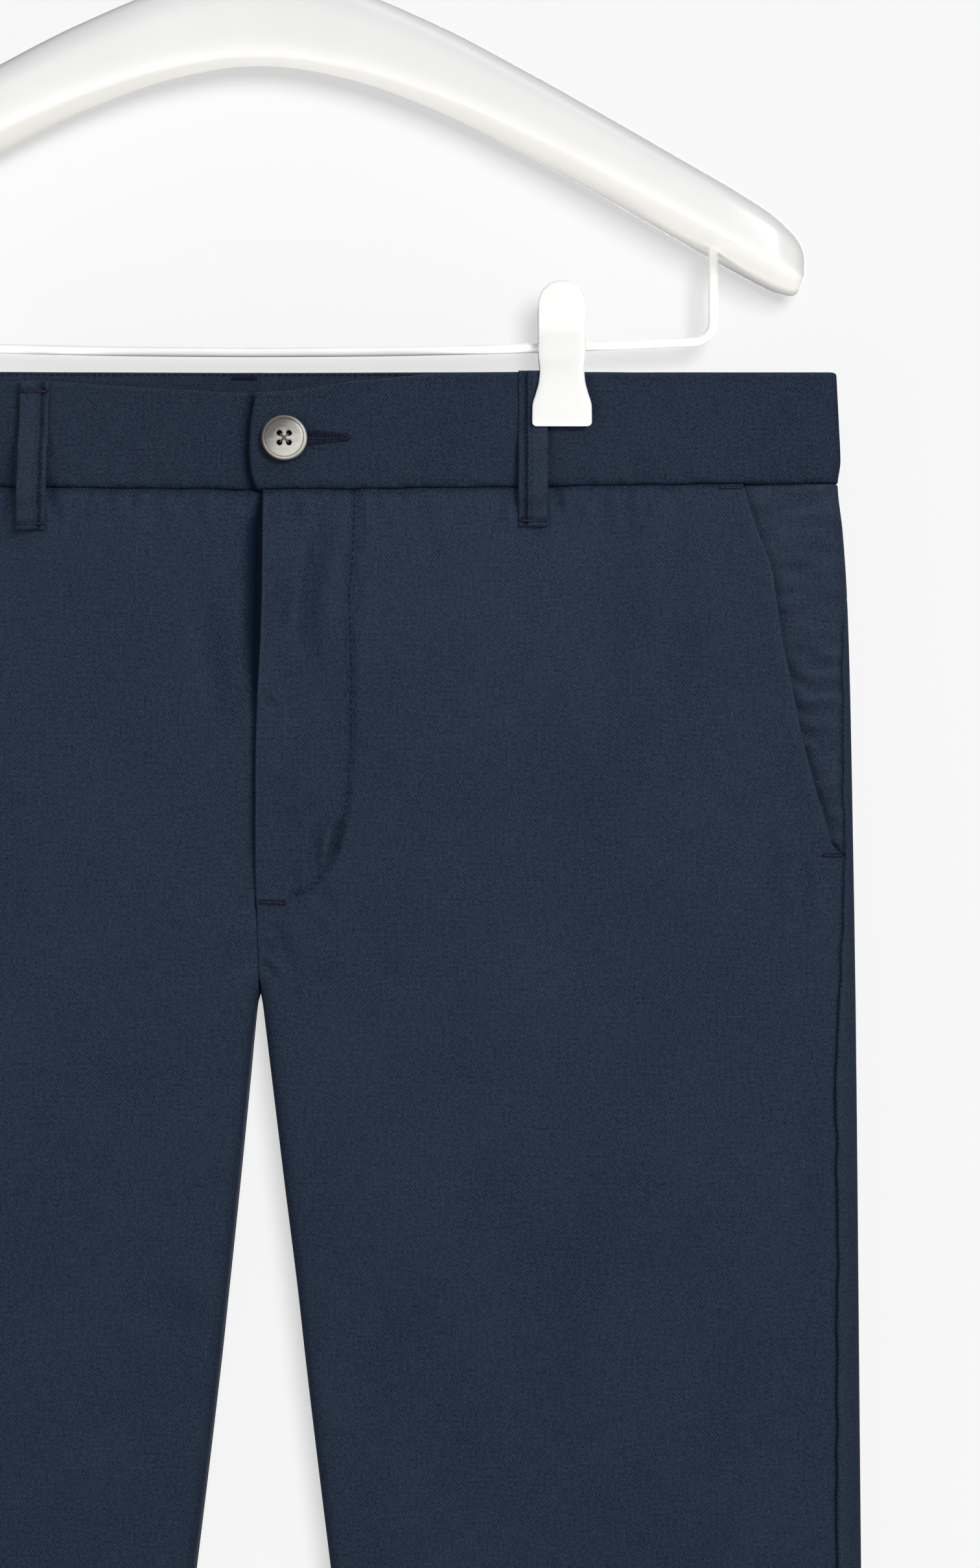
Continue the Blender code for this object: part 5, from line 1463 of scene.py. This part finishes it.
def wire_rings(path, radius, sides, taper=()):
    """Rings along a path of points; taper gives shares of the radius at its end."""
    path = [Vector(point) for point in path]
    rings, axis_before, across = [], None, None
    for i, centre in enumerate(path):
        axis = (path[min(i + 1, len(path) - 1)] - path[max(i - 1, 0)]).normalized()
        if across is None:
            across = axis.orthogonal().normalized()
        else:
            across = axis_before.rotation_difference(axis) @ across
        axis_before = axis
        other = axis.cross(across)
        left = len(path) - 1 - i
        share = taper[left] if left < len(taper) else 1.0
        rings.append(circle(centre, share * radius, across, other, around(sides)))
    return rings


def bar_height(across):
    run_out = BAR["half"] - BAR["bend"]
    return BAR["middle"] + BAR["rise"] * (across / run_out) ** 2


def make_bar(material):
    half, bend = BAR["half"], BAR["bend"]
    corner_up = float(bar_height(half - bend)) + bend
    angles = np.linspace(math.pi / 2, 0.0, 19)
    right_x = half - bend + bend * np.cos(angles)
    right_up = corner_up - bend * np.sin(angles)
    rise = np.linspace(corner_up, BAR["top"] + 3.0, 12)[1:]
    middle = np.linspace(-(half - bend), half - bend, 90)[1:-1]
    x = np.concatenate((middle, right_x, np.full(len(rise), half)))
    up = np.concatenate((bar_height(middle), right_up, rise))
    left_x = np.concatenate((np.full(len(rise), -half), -right_x[::-1]))
    left_up = np.concatenate((rise[::-1], right_up[::-1]))
    path = place(np.concatenate((left_x, x)), 0.0, -np.concatenate((left_up, up)))
    bar = joined("hanger_bar_wire", [rings_mesh(wire_rings(path, BAR["wire"] * MM, 24))], material)
    return finish_piece(outward_faces(bar), ["hanger_bar"])


def make_hook(material):
    """The hook: stem up from the arm, round the rail and down to its rounded end."""
    wire = HOOK["wire"]
    radius = (HOOK["inside"] + wire) * MM
    centre = np.array((0.0, 0.0, -HOOK["inside"] * MM))
    turns = np.radians(np.linspace(HOOK["turn"], HOOK["open_to"], 90))
    arc = centre + radius * np.stack((np.cos(turns), 0.0 * turns, np.sin(turns)), axis=1)
    first = arc[0]
    stem_top = np.array((0.0, 0.0, first[2] - 0.014))
    leaving = math.radians(HOOK["turn"] - 90.0)
    handle = first + 0.011 * np.array((math.cos(leaving), 0.0, math.sin(leaving)))
    joint = stem_top + np.array((0.0, 0.0, 0.009))
    t = (np.arange(1, 25) / 25.0)[:, None]
    neck = ((1 - t) ** 3 * stem_top + 3 * (1 - t) ** 2 * t * joint
            + 3 * (1 - t) * t ** 2 * handle + t ** 3 * first)
    bottom = place(0.0, 0.0, -HOOK["stem_bottom"])
    stem = bottom + (stem_top - bottom) * np.linspace(0.0, 1.0, 12)[:, None]
    ahead = (arc[-1] - arc[-2]) / np.linalg.norm(arc[-1] - arc[-2])
    cap = [arc[-1] + ahead * wire * MM * math.sin(a) for a in np.radians((20, 40, 60, 75, 88))]
    taper = [math.cos(a) for a in np.radians((88, 75, 60, 40, 20))]
    path = np.concatenate((stem, neck, arc, cap))
    rings = wire_rings(path, wire * MM, 28, taper)
    collar = [circle(place(0.0, 0.0, -up), reach * MM, AXES[0], AXES[1], around(32))
              for up, reach in COLLAR]
    hook = joined("hanger_hook_wire", [rings_mesh(rings), rings_mesh(collar)], material)
    return finish_piece(outward_faces(hook), ["hanger_hook"])


def jaw_parts(centre, face, knuckles, grip):
    """The plate of one jaw with its grip's teeth, and its knuckles round the bar."""
    ups = np.concatenate((np.linspace(-19.5, -17.9, 12), np.linspace(-17.4, 28.0, 44),
                          np.linspace(28.7, 33.2, 12), (33.5, 33.7)))
    rings = []
    turns = around(56) + math.pi / 56
    c, s = np.cos(turns), np.sin(turns)
    for up in ups:
        half_width, inner, thick = (float(read(JAW, k, up)) for k in (1, 2, 3))
        low = max(0.0, 1.0 - (up + 19.5) / 1.6)
        half_width -= 1.6 * (1.0 - math.sqrt(1.0 - 0.98 * low * low))
        x = half_width * np.sign(c) * np.abs(c) ** 0.3
        y = inner + thick / 2 + thick / 2 * np.sign(s) * np.abs(s) ** 0.55
        rings.append(place(centre + x, face * y, -up))
    parts = [rings_mesh(rings)]
    for k in range(3):
        up = GRIP["bottom"] + (k + 0.5) * (GRIP["top"] - GRIP["bottom"]) / 3
        ends = [place(centre + x, face * GRIP["outer"], -up) for x in grip]
        rings = []
        for end, share in ((ends[0], 0.7), (ends[0] + (ends[1] - ends[0]) * 0.02, 1.0),
                           (ends[1] - (ends[1] - ends[0]) * 0.02, 1.0), (ends[1], 0.7)):
            rings.append([end + MM * share * np.array(
                (0.0, -face * (GRIP["outer"] - GRIP["inner"]) * max(math.sin(a), -0.1),
                 0.66 * math.cos(a))) for a in around(16)])
        parts.append(rings_mesh(rings))
    up = float(bar_height(centre))
    for low, high in knuckles:
        for side in (-1, 1):
            rings = []
            for x, outer in ((low, 0.86), (low + 0.3, 1.0), (high - 0.3, 1.0), (high, 0.86),
                             (high, 0.58), (low, 0.58), (low, 0.86)):
                level = place(centre + side * x, 0.0, -up)
                reach = KNUCKLE["outer"] * outer * MM
                rings.append(circle(level, reach, AXES[1], AXES[2], around(32)))
            points, faces = rings_mesh(rings)
            parts.append((points, faces[2:]))
            inset = KNUCKLE["inset"]
            corners = []
            for x in sorted((side * (low + inset), side * (high - inset))):
                corners.append([place(centre + x, face * y, -(up + z)) for y, z in (
                    (3.0, -KNUCKLE["web"]), (KNUCKLE["web_end"], -KNUCKLE["web"]),
                    (KNUCKLE["web_end"], KNUCKLE["web"]), (3.0, KNUCKLE["web"]))])
            parts.append(rings_mesh(corners))
    return parts


def make_clip(label, side, plastic, steel):
    centre = side * CLIP_X
    front_grip = (-3.4, 10.0) if side > 0 else (-10.0, 10.0)
    for word, face, knuckles, grip in (("front", -1, ((5.6, 8.3),), front_grip),
                                       ("back", 1, ((2.9, 5.2),), (-10.0, 10.0))):
        name = "clip_jaw_%s_%s" % (label, word)
        jaw = joined(name, jaw_parts(centre, face, knuckles, grip), plastic)
        finish_piece(outward_faces(jaw, 45.0), ["clip_%s_%s" % (label, word)])
    up, coil, wire = float(bar_height(centre)), 2.85, 0.42
    turns = np.linspace(0.0, 5.0 * 2.0 * math.pi, 5 * 28 + 1)
    x = centre - 2.1 + 4.2 * turns / turns[-1]
    path = place(x, coil * np.cos(turns), -up + coil * np.sin(turns))
    spring = joined("clip_coil_" + label, [rings_mesh(wire_rings(path, wire * MM, 10))], steel)
    return finish_piece(outward_faces(spring), ["clip_%s_spring" % label])


# ---------------------------------------------------------------- materials
class Nodes:
    """A tree of nodes, and short calls that add to it."""

    def __init__(self, tree):
        self.tree = tree
        tree.nodes.clear()

    def put(self, socket, value):
        if isinstance(value, bpy.types.NodeSocket):
            self.tree.links.new(value, socket)
        elif socket.type == "VECTOR":
            socket.default_value = value[:3]
        else:
            socket.default_value = value

    def add(self, kind, inputs, **settings):
        node = self.tree.nodes.new("ShaderNode" + kind)
        for key, value in settings.items():
            setattr(node, key, value)
        for key, value in inputs.items():
            self.put(node.inputs[key], value)
        return node

    def node(self, kind, inputs, output=0, **settings):
        return self.add(kind, inputs, **settings).outputs[output]


class Looks(Nodes):
    """A material's nodes."""

    def __init__(self, name):
        self.material = bpy.data.materials.new(name)
        self.material.use_nodes = True
        super().__init__(self.material.node_tree)
        self.shader = self.add("BsdfPrincipled", {})
        self.output = self.add("OutputMaterial", {"Surface": self.shader.outputs[0]})

    def on_object(self):
        return self.node("TexCoord", {}, "Object")

    def math(self, operation, *values):
        return self.node("Math", dict(enumerate(values)), operation=operation)

    def uv(self):
        return self.node("UVMap", {}, uv_map="Cloth")

    def turned(self, vector, shares):
        """One coordinate of a vector seen along another direction."""
        return self.node("VectorMath", {0: vector, 1: shares}, "Value", operation="DOT_PRODUCT")

    def noise(self, vector, scale, detail, rough=0.5):
        return self.node("TexNoise", {"Vector": vector, "Scale": scale, "Detail": detail,
                                      "Roughness": rough})

    def stretched(self, vector, scales):
        return self.node("VectorMath", {0: vector, 1: scales}, operation="MULTIPLY")

    def spread(self, value, low, high, to_low, to_high):
        return self.node("MapRange", {0: value, 1: low, 2: high, 3: to_low, 4: to_high})

    def mix(self, factor, first, second, blend="MIX"):
        return self.node("Mix", {0: factor, 6: first, 7: second}, 2, data_type="RGBA",
                         blend_type=blend)

    def shaded(self, colour, factor):
        """A colour made lighter or darker by a factor."""
        return self.node("VectorMath", {0: colour, "Scale": factor}, operation="SCALE")

    def finish(self, colour, roughness, bump=None, distance=0.0, strength=1.0, **constants):
        shader = self.shader
        self.put(shader.inputs["Base Color"], colour)
        self.put(shader.inputs["Roughness"], roughness)
        for key, value in constants.items():
            label = key.replace("_", " ").title().replace("Ior", "IOR")
            shader.inputs[label].default_value = value
        if bump is not None:
            inputs = {"Strength": strength, "Distance": distance, "Height": bump}
            self.put(shader.inputs["Normal"], self.node("Bump", inputs))
        return self.material


def rgb(red, green, blue):
    return (red, green, blue, 1.0)


def twill(name, dark, pale, strength, slant):
    """Dyed cotton twill: slanting ribs that come and go, yarn grain, slubs and faint specks."""
    look = Looks(name)
    uv = look.uv()
    slant = math.radians(slant)
    rib = look.turned(uv, (math.sin(slant), -math.cos(slant), 0.0))
    along = look.turned(uv, (math.cos(slant), math.sin(slant), 0.0))
    phase = look.math("MULTIPLY_ADD", look.noise(uv, 60.0, 2.0), 7.0,
                      look.math("MULTIPLY", rib, 2.0 * math.pi / (0.94 * MM)))
    phase = look.math("MULTIPLY_ADD", look.noise(uv, 700.0, 1.0), 2.6, phase)
    ribs = look.math("COSINE", phase)
    float_phase = look.math("MULTIPLY_ADD", along, 2.0 * math.pi / (1.1 * MM),
                            look.math("MULTIPLY", look.noise(uv, 600.0, 1.0), 9.0))
    floats = look.math("COSINE", float_phase)
    clearness = look.spread(look.noise(uv, 55.0, 3.0), 0.36, 0.64, 0.05, 0.24)
    fibre = look.noise(uv, 2300.0, 2.0, 0.6)
    grain = look.noise(uv, 1000.0, 1.5, 0.6)
    height = look.math("MULTIPLY_ADD", ribs, clearness, 0.5)
    height = look.math("MULTIPLY_ADD", look.math("MULTIPLY", floats, clearness), 0.4, height)
    height = look.math("ADD", height, look.spread(fibre, 0.3, 0.7, -0.17, 0.17))
    height = look.math("ADD", height, look.spread(grain, 0.3, 0.7, -0.22, 0.22))
    weft = look.noise(look.stretched(uv, (110.0, 1000.0, 1.0)), 1.0, 2.0)
    warp = look.noise(look.stretched(uv, (900.0, 130.0, 1.0)), 1.0, 2.0)
    slubs = look.math("ADD", look.spread(weft, 0.25, 0.75, -0.09, 0.09),
                      look.spread(warp, 0.25, 0.75, -0.10, 0.10))
    cloud = look.noise(uv, 30.0, 2.0)
    ribbed = look.spread(height, 0.0, 1.0, 0.5 - 0.5 * strength, 0.5 + 0.5 * strength)
    shade = look.math("ADD", ribbed, slubs)
    shade = look.math("ADD", shade, look.spread(cloud, 0.3, 0.7, -0.03, 0.03))
    cells = look.add("TexVoronoi", {"Scale": 190.0, "Vector": uv})
    lint = look.math("LESS_THAN", cells.outputs["Distance"], 0.045)
    chosen = look.node("SeparateColor", {0: cells.outputs["Color"]})
    lint = look.math("MULTIPLY", lint, look.math("GREATER_THAN", chosen, 0.90))
    shade = look.math("MULTIPLY_ADD", lint, 0.9, shade)
    # The mesh attribute adds edge wear, painted highlight and painted shade to the twill's shade
    worn = look.node("Attribute", {}, "Fac", attribute_name="worn")
    shade = look.math("MULTIPLY_ADD", worn, 0.55, shade)
    colour = look.mix(shade, rgb(*dark), rgb(*pale))
    specks = look.spread(look.noise(uv, 620.0, 2.0, 0.7), 0.40, 0.66, 0.0, 1.0)
    colour = look.mix(1.0, colour, look.mix(specks, rgb(0.95, 1.03, 1.01), rgb(1.13, 0.92, 0.98)),
                      "MULTIPLY")
    return look.finish(colour, 0.86, height, 0.11 * MM, 0.6, specular_ior_level=0.14,
                       sheen_weight=0.03, sheen_roughness=0.35, sheen_tint=rgb(0.72, 0.80, 1.0))


def yarn(name, colour, other):
    """Sewing thread, a little uneven in colour along it."""
    look = Looks(name)
    twist = look.noise(look.uv(), 900.0, 2.0)
    tint = look.mix(look.spread(twist, 0.35, 0.65, 0.0, 1.0), rgb(*colour), rgb(*other))
    return look.finish(tint, 0.75, twist, 0.05 * MM, 0.5, specular_ior_level=0.12,
                       sheen_weight=0.02, sheen_roughness=0.4)


def zip_tape(name):
    look = Looks(name)
    uv = look.uv()
    ribs = look.math("SINE", look.math("MULTIPLY", look.turned(uv, (1.0, 0.0, 0.0)), 7000.0))
    grain = look.noise(uv, 1800.0, 2.0)
    tone = look.math("MULTIPLY_ADD", ribs, 0.2, look.spread(grain, 0.3, 0.7, 0.8, 1.2))
    return look.finish(look.shaded(rgb(0.012, 0.016, 0.030), tone), 0.8, ribs, 0.06 * MM, 0.5,
                       specular_ior_level=0.25)


def moulded(name, colour, roughness, mottling):
    """Plastic or lacquered wire, clean, with the faintest unevenness."""
    look = Looks(name)
    place_on = look.on_object()
    cloud = look.noise(place_on, 45.0, 3.0)
    grain = look.noise(place_on, 900.0, 2.0)
    tone = look.spread(cloud, 0.3, 0.7, 1.0 - mottling, 1.0 + mottling)
    tint = look.shaded(rgb(*colour), tone)
    rough = look.spread(grain, 0.3, 0.7, roughness - 0.05, roughness + 0.05)
    return look.finish(tint, rough, grain, 0.012 * MM, 0.4, specular_ior_level=0.45)


def metal(name, colour, roughness):
    look = Looks(name)
    place_on = look.on_object()
    cloud = look.noise(place_on, 130.0, 3.0)
    scratches = look.noise(look.stretched(place_on, (900.0, 900.0, 90.0)), 1.0, 2.0)
    tint = look.shaded(rgb(*colour), look.spread(cloud, 0.3, 0.7, 0.92, 1.05))
    rough = look.spread(scratches, 0.3, 0.7, roughness - 0.06, roughness + 0.08)
    return look.finish(tint, rough, scratches, 0.01 * MM, 0.3, metallic=1.0)


def horn(name):
    """Imitation horn, marbled, with a brown outer edge; painted shading of its dished face makes
    it paler in the middle and darker towards the top left, with painted shade in its groove and on
    the lower left of its edge.
    """
    look = Looks(name)
    uv = look.uv()
    reach = look.node("VectorMath", {0: uv}, "Value", operation="LENGTH")
    leaning = look.turned(uv, (-0.72, 0.69, 0.0))
    warp = look.noise(look.stretched(uv, (150.0, 420.0, 1.0)), 1.0, 3.0, 0.6)
    across = look.math("ADD", leaning, look.spread(warp, 0.3, 0.7, -1.6 * MM, 1.6 * MM))
    # Painted shade darkens the face towards the top left, its boundary marbled
    painted_dish_shading = look.mix(look.spread(across, -5.0 * MM, 4.5 * MM, 0.0, 1.0),
                     rgb(0.52, 0.51, 0.47), rgb(0.105, 0.10, 0.092))
    # A painted highlight pales the middle of the face
    centre = look.spread(reach, 0.5 * MM, 4.6 * MM, 0.6, 0.0)
    painted_dish_shading = look.mix(centre, painted_dish_shading, rgb(0.58, 0.57, 0.53))
    # Painted shade in the face's groove
    groove = look.math("COMPARE", reach, 6.95 * MM, 0.28 * MM)
    painted_dish_shading = look.mix(look.math("MULTIPLY", groove, 0.6), painted_dish_shading, rgb(0.07, 0.065, 0.06))
    # The brown edge is the horn's own colour, painted darker towards the lower left as shade
    low = look.spread(look.turned(uv, (-0.6, -0.8, 0.0)), -3.0 * MM, 6.0 * MM, 0.25, 1.0)
    edge = look.math("MULTIPLY", look.spread(reach, 7.3 * MM, 8.1 * MM, 0.0, 1.0), low)
    tint = look.mix(edge, painted_dish_shading, rgb(0.10, 0.075, 0.055))
    return look.finish(tint, look.spread(warp, 0.3, 0.7, 0.24, 0.34), warp, 0.01 * MM, 0.2,
                       specular_ior_level=0.5, coat_weight=0.12, coat_roughness=0.2)


# ---------------------------------------------------------------- stitches on the panels
def panel_lift(face, side):
    """A panel's relief, over places on the whole garment."""
    lift = front_lift if face < 0 else back_lift
    return lambda across, drop: lift(side, side * across, drop)


def bar_across(threads, over, face, ends, lift, height, radius, inset=0.0):
    """A bartack between two places (across, drop) on the cloth."""
    places = np.linspace(ends[0], ends[1], 13)
    points, out = on_cloth(face, places[:, 0], places[:, 1], lift, inset)
    threads.bartack(points, out, height * MM, radius * MM, over)


def make_seam_stitches(material):
    """The fly's line and the hems' lines."""
    threads = Threads()
    points, out = on_cloth(-1, J_LINE[:, 0], J_LINE[:, 1], panel_lift(-1, 1))
    threads.sew(points, out, 2.8 * MM, 0.66, 0.25 * MM, 0.02 * MM)
    line = LEG_END - HEM + 0.6
    for face in (-1, 1):
        for side in (1, -1):
            low = side * float(gap_edge(side, line)) + 6.0
            high = float(section("width", line)) - 6.5
            x = np.linspace(low, high, 90)
            points, out = on_cloth(face, side * x, line + 0.0 * x, panel_lift(face, side))
            threads.sew(points, out, 3.0 * MM, 0.7, 0.18 * MM, 0.02 * MM)
    return finish_piece(threads.build("seam_stitches", material))


def plain_lift(across, drop):
    """The waistband's inner side has no relief."""
    return 0.0 * across


def make_inner_stitches(material):
    """Stitches along the waistband's inner side, and the centre loop's bar there."""
    threads = Threads()
    x = np.linspace(-203.0, 203.0, 300)
    points, out = on_cloth(1, x, -0.3 + 0.0 * x, plain_lift, BAND)
    threads.sew(points, out, 2.55 * MM, 0.72, 0.16 * MM, 0.02 * MM)
    bar_across(threads, threads, 1, ((-10.0, 0.9), (-1.0, 0.9)), plain_lift, 1.6, 0.19, BAND)
    return finish_piece(threads.build("waistband_inner_stitches", material))


def make_bartacks(material, over):
    """Dense bars where the fly and the pockets' mouths end, with paler threads over them."""
    threads = Threads()
    for side, start, end, height, radius in BARTACKS:
        ends = ((side * start[0], start[1]), (side * end[0], end[1]))
        bar_across(threads, over, -1, ends, panel_lift(-1, side), height, radius)
    return finish_piece(threads.build("bartacks", material))


def dress():
    """Every piece of the object, with its material."""
    cloth = twill("navy_twill_look", (0.0012, 0.0076, 0.0212), (0.0240, 0.0375, 0.0612),
                  1.12, 48.0)
    # The waistband's twill is a darker copy of the front's cloth, darker as painted shade
    band = twill("band_twill_look", (0.0008, 0.0062, 0.0174), (0.0195, 0.0303, 0.0507),
                 1.35, 53.0)
    # The facing's twill is a paler copy of the front's cloth, paler as painted light
    inner = twill("facing_twill_look", (0.0026, 0.0093, 0.0234), (0.0268, 0.0392, 0.0625),
                  1.2, 42.0)
    navy = yarn("navy_thread_look", (0.0025, 0.005, 0.015), (0.006, 0.010, 0.024))
    plum = yarn("plum_thread_look", (0.004, 0.0044, 0.0145), (0.0115, 0.0115, 0.030))
    loop_thread = yarn("loop_thread_look", (0.020, 0.024, 0.044), (0.040, 0.045, 0.068))
    brown = yarn("button_thread_look", (0.085, 0.06, 0.065), (0.16, 0.12, 0.125))
    tape = zip_tape("zip_tape_look")
    teeth = yarn("zip_coil_look", (0.014, 0.018, 0.032), (0.022, 0.028, 0.046))
    plastic = moulded("white_plastic_look", (0.555, 0.558, 0.567), 0.38, 0.012)
    wire = moulded("white_wire_look", (0.745, 0.750, 0.750), 0.36, 0.03)
    steel = metal("steel_look", (0.58, 0.58, 0.57), 0.3)

    for label, side in (("left", 1), ("right", -1)):
        make_front(label, side, cloth)
        make_back(label, side, cloth)
        make_waistband(label, side, band)
        make_facing(label, side, inner)
        make_clip(label, side, plastic, steel)
    make_shield(cloth)
    make_zip(tape, teeth)
    stitches, tacks, over = Threads(), Threads(), Threads()
    for row in LOOPS:
        make_loop(row, band)
        stitch_loop(stitches, tacks, over, row)
    finish_piece(stitches.build("loop_stitches", loop_thread))
    finish_piece(tacks.build("loop_bartacks", plum))
    make_button(horn("button_horn_look"))
    make_button_thread(brown)
    make_buttonhole(plum, loop_thread)
    make_seam_stitches(navy)
    make_inner_stitches(plum)
    make_bartacks(plum, over)
    finish_piece(over.build("bartack_threads", loop_thread))
    make_arm(plastic)
    make_bar(wire)
    make_hook(steel)


# Soft boxes, with two sizes in metres and a power in watts, and suns, with an angle and watts a
# square metre. The stage has suns of its own, so nothing else lights it.
LAMPS = (
    # name, at, towards, size, power, colour, what it lights
    ("key", (1.1, -1.75, 0.55), (0.05, 0.0, -0.35), (0.8, 0.8), 39.8, (1.0, 0.99, 0.97), "object"),
    ("wall_sun", (0.42, -2.2, -0.15), (0.05, 0.0, -0.35), (0.32,), 5.28, (1.0, 1.0, 1.0), "wall"),
    ("floor_sun", (0.5, -0.8, 2.0), (0.0, 0.0, 0.0), (0.5,), 5.73, (1.0, 1.0, 1.0), "floor"),
    ("rear", (0.5, 2.1, 0.3), (0.0, 0.0, -0.35), (1.2, 1.2), 40.0, (1.0, 1.0, 1.0), "object"),
    ("fill", (-1.5, -1.7, -0.5), (0.0, 0.0, -0.35), (1.6, 1.6), 20.0, (0.97, 0.985, 1.0),
     "object"),
    ("top", (0.35, -0.7, 1.2), (0.05, 0.0, 0.0), (0.8, 0.5), 7.0, (1.0, 1.0, 1.0), "object"),
    ("bounce", (0.1, -0.18, -0.78), (0.1, 0.0, -0.1), (1.2, 0.22), 8.0, (1.0, 0.96, 0.87),
     "hanger"),
)
FLOOR_Z, WALL_Y = -0.80, 0.027
FLOOR = ((-4.0, -4.0, FLOOR_Z), (4.0, -4.0, FLOOR_Z), (4.0, 3.0, FLOOR_Z), (-4.0, 3.0, FLOOR_Z))
WALL = ((-3.0, WALL_Y, FLOOR_Z), (3.0, WALL_Y, FLOOR_Z), (3.0, WALL_Y, 1.2), (-3.0, WALL_Y, 1.2))
FLOOR_GLOW, WALL_GLOW = 0.589, 0.550


def light(name, at, towards, size, power, colour, linked, state):
    """A lamp that lights the linked objects alone, or all but them, as its state says."""
    lamp = bpy.data.lights.new(name, "AREA" if len(size) == 2 else "SUN")
    if len(size) == 2:
        lamp.shape, lamp.size, lamp.size_y = "RECTANGLE", size[0], size[1]
    else:
        lamp.angle = size[0]
    lamp.energy, lamp.color = power, colour
    obj = bpy.data.objects.new(name, lamp)
    obj.location = at
    obj.rotation_euler = (Vector(towards) - Vector(at)).to_track_quat("-Z", "Y").to_euler()
    obj.visible_camera = False
    bpy.context.scene.collection.objects.link(obj)
    lit = bpy.data.collections.new(name + "_lit")
    for other in linked:
        lit.objects.link(other)
    obj.light_linking.receiver_collection = lit
    for entry in lit.collection_objects:
        entry.light_linking.link_state = state


def stage_plane(name, corners, glow):
    """A pale plane with some light of its own, so that its shadows are weak; clear from behind."""
    look = Looks(name + "_look")
    grain = look.noise(look.on_object(), 3.0, 2.0)
    tint = look.shaded(rgb(0.20, 0.20, 0.20), look.spread(grain, 0.3, 0.7, 0.99, 1.01))
    clear = look.node("BsdfTransparent", {})
    behind = look.node("NewGeometry", {}, "Backfacing")
    shown = look.node("MixShader", {0: behind, 1: look.shader.outputs[0], 2: clear})
    look.put(look.output.inputs["Surface"], shown)
    material = look.finish(tint, 0.9, specular_ior_level=0.0, emission_strength=glow)
    material.cycles.emission_sampling = "NONE"
    mesh = bpy.data.meshes.new(name)
    mesh.from_pydata(corners, [], [(0, 1, 2, 3)])
    mesh.materials.append(material)
    obj = bpy.data.objects.new(name, mesh)
    bpy.context.scene.collection.objects.link(obj)
    obj.visible_shadow = obj.visible_diffuse = obj.visible_glossy = False
    return obj


def light_world():
    """Pale where the camera sees it; round the object, dim above and brighter from below."""
    world = bpy.data.worlds.new("studio")
    bpy.context.scene.world = world
    world.use_nodes = True
    sky = Nodes(world.node_tree)
    height = sky.node("SeparateXYZ", {0: sky.node("TexCoord", {}, "Generated")}, "Z")
    glow = sky.node("MapRange", {0: height, 1: -0.15, 2: 0.05, 3: 0.50, 4: 0.10})
    seen = sky.node("Background", {"Color": rgb(0.939, 0.939, 0.939)})
    around_it = sky.node("Background", {"Color": rgb(1.0, 0.985, 0.965), "Strength": glow})
    watched = sky.node("LightPath", {}, "Is Camera Ray")
    chosen = sky.node("MixShader", {0: watched, 1: around_it, 2: seen})
    sky.add("OutputWorld", {"Surface": chosen})


def studio():
    """A pale floor and wall, the lamps, the world round them and the photo's camera."""
    floor = stage_plane("floor", FLOOR, FLOOR_GLOW)
    wall = stage_plane("wall", WALL, WALL_GLOW)
    scene = bpy.context.scene
    hanger = [obj for obj in scene.objects if obj.name.startswith(("hanger", "clip"))]
    linked = {"object": ((wall, floor), "EXCLUDE"), "wall": ((wall,), "INCLUDE"),
              "floor": ((floor,), "INCLUDE"), "hanger": (hanger, "INCLUDE")}
    for *lamp, what in LAMPS:
        light(*lamp, *linked[what])
    light_world()
    scene.view_settings.view_transform = "Standard"
    eye = bpy.data.cameras.new("camera")
    eye.sensor_width, eye.lens = 36.0, 80.75
    eye.clip_start, eye.clip_end = 0.05, 20.0
    camera = bpy.data.objects.new("camera", eye)
    camera.location = (0.0855, -1.3, -0.3662)
    camera.rotation_euler = (math.pi / 2, 0.0, 0.0)
    scene.collection.objects.link(camera)
    scene.camera = camera


dress()
studio()
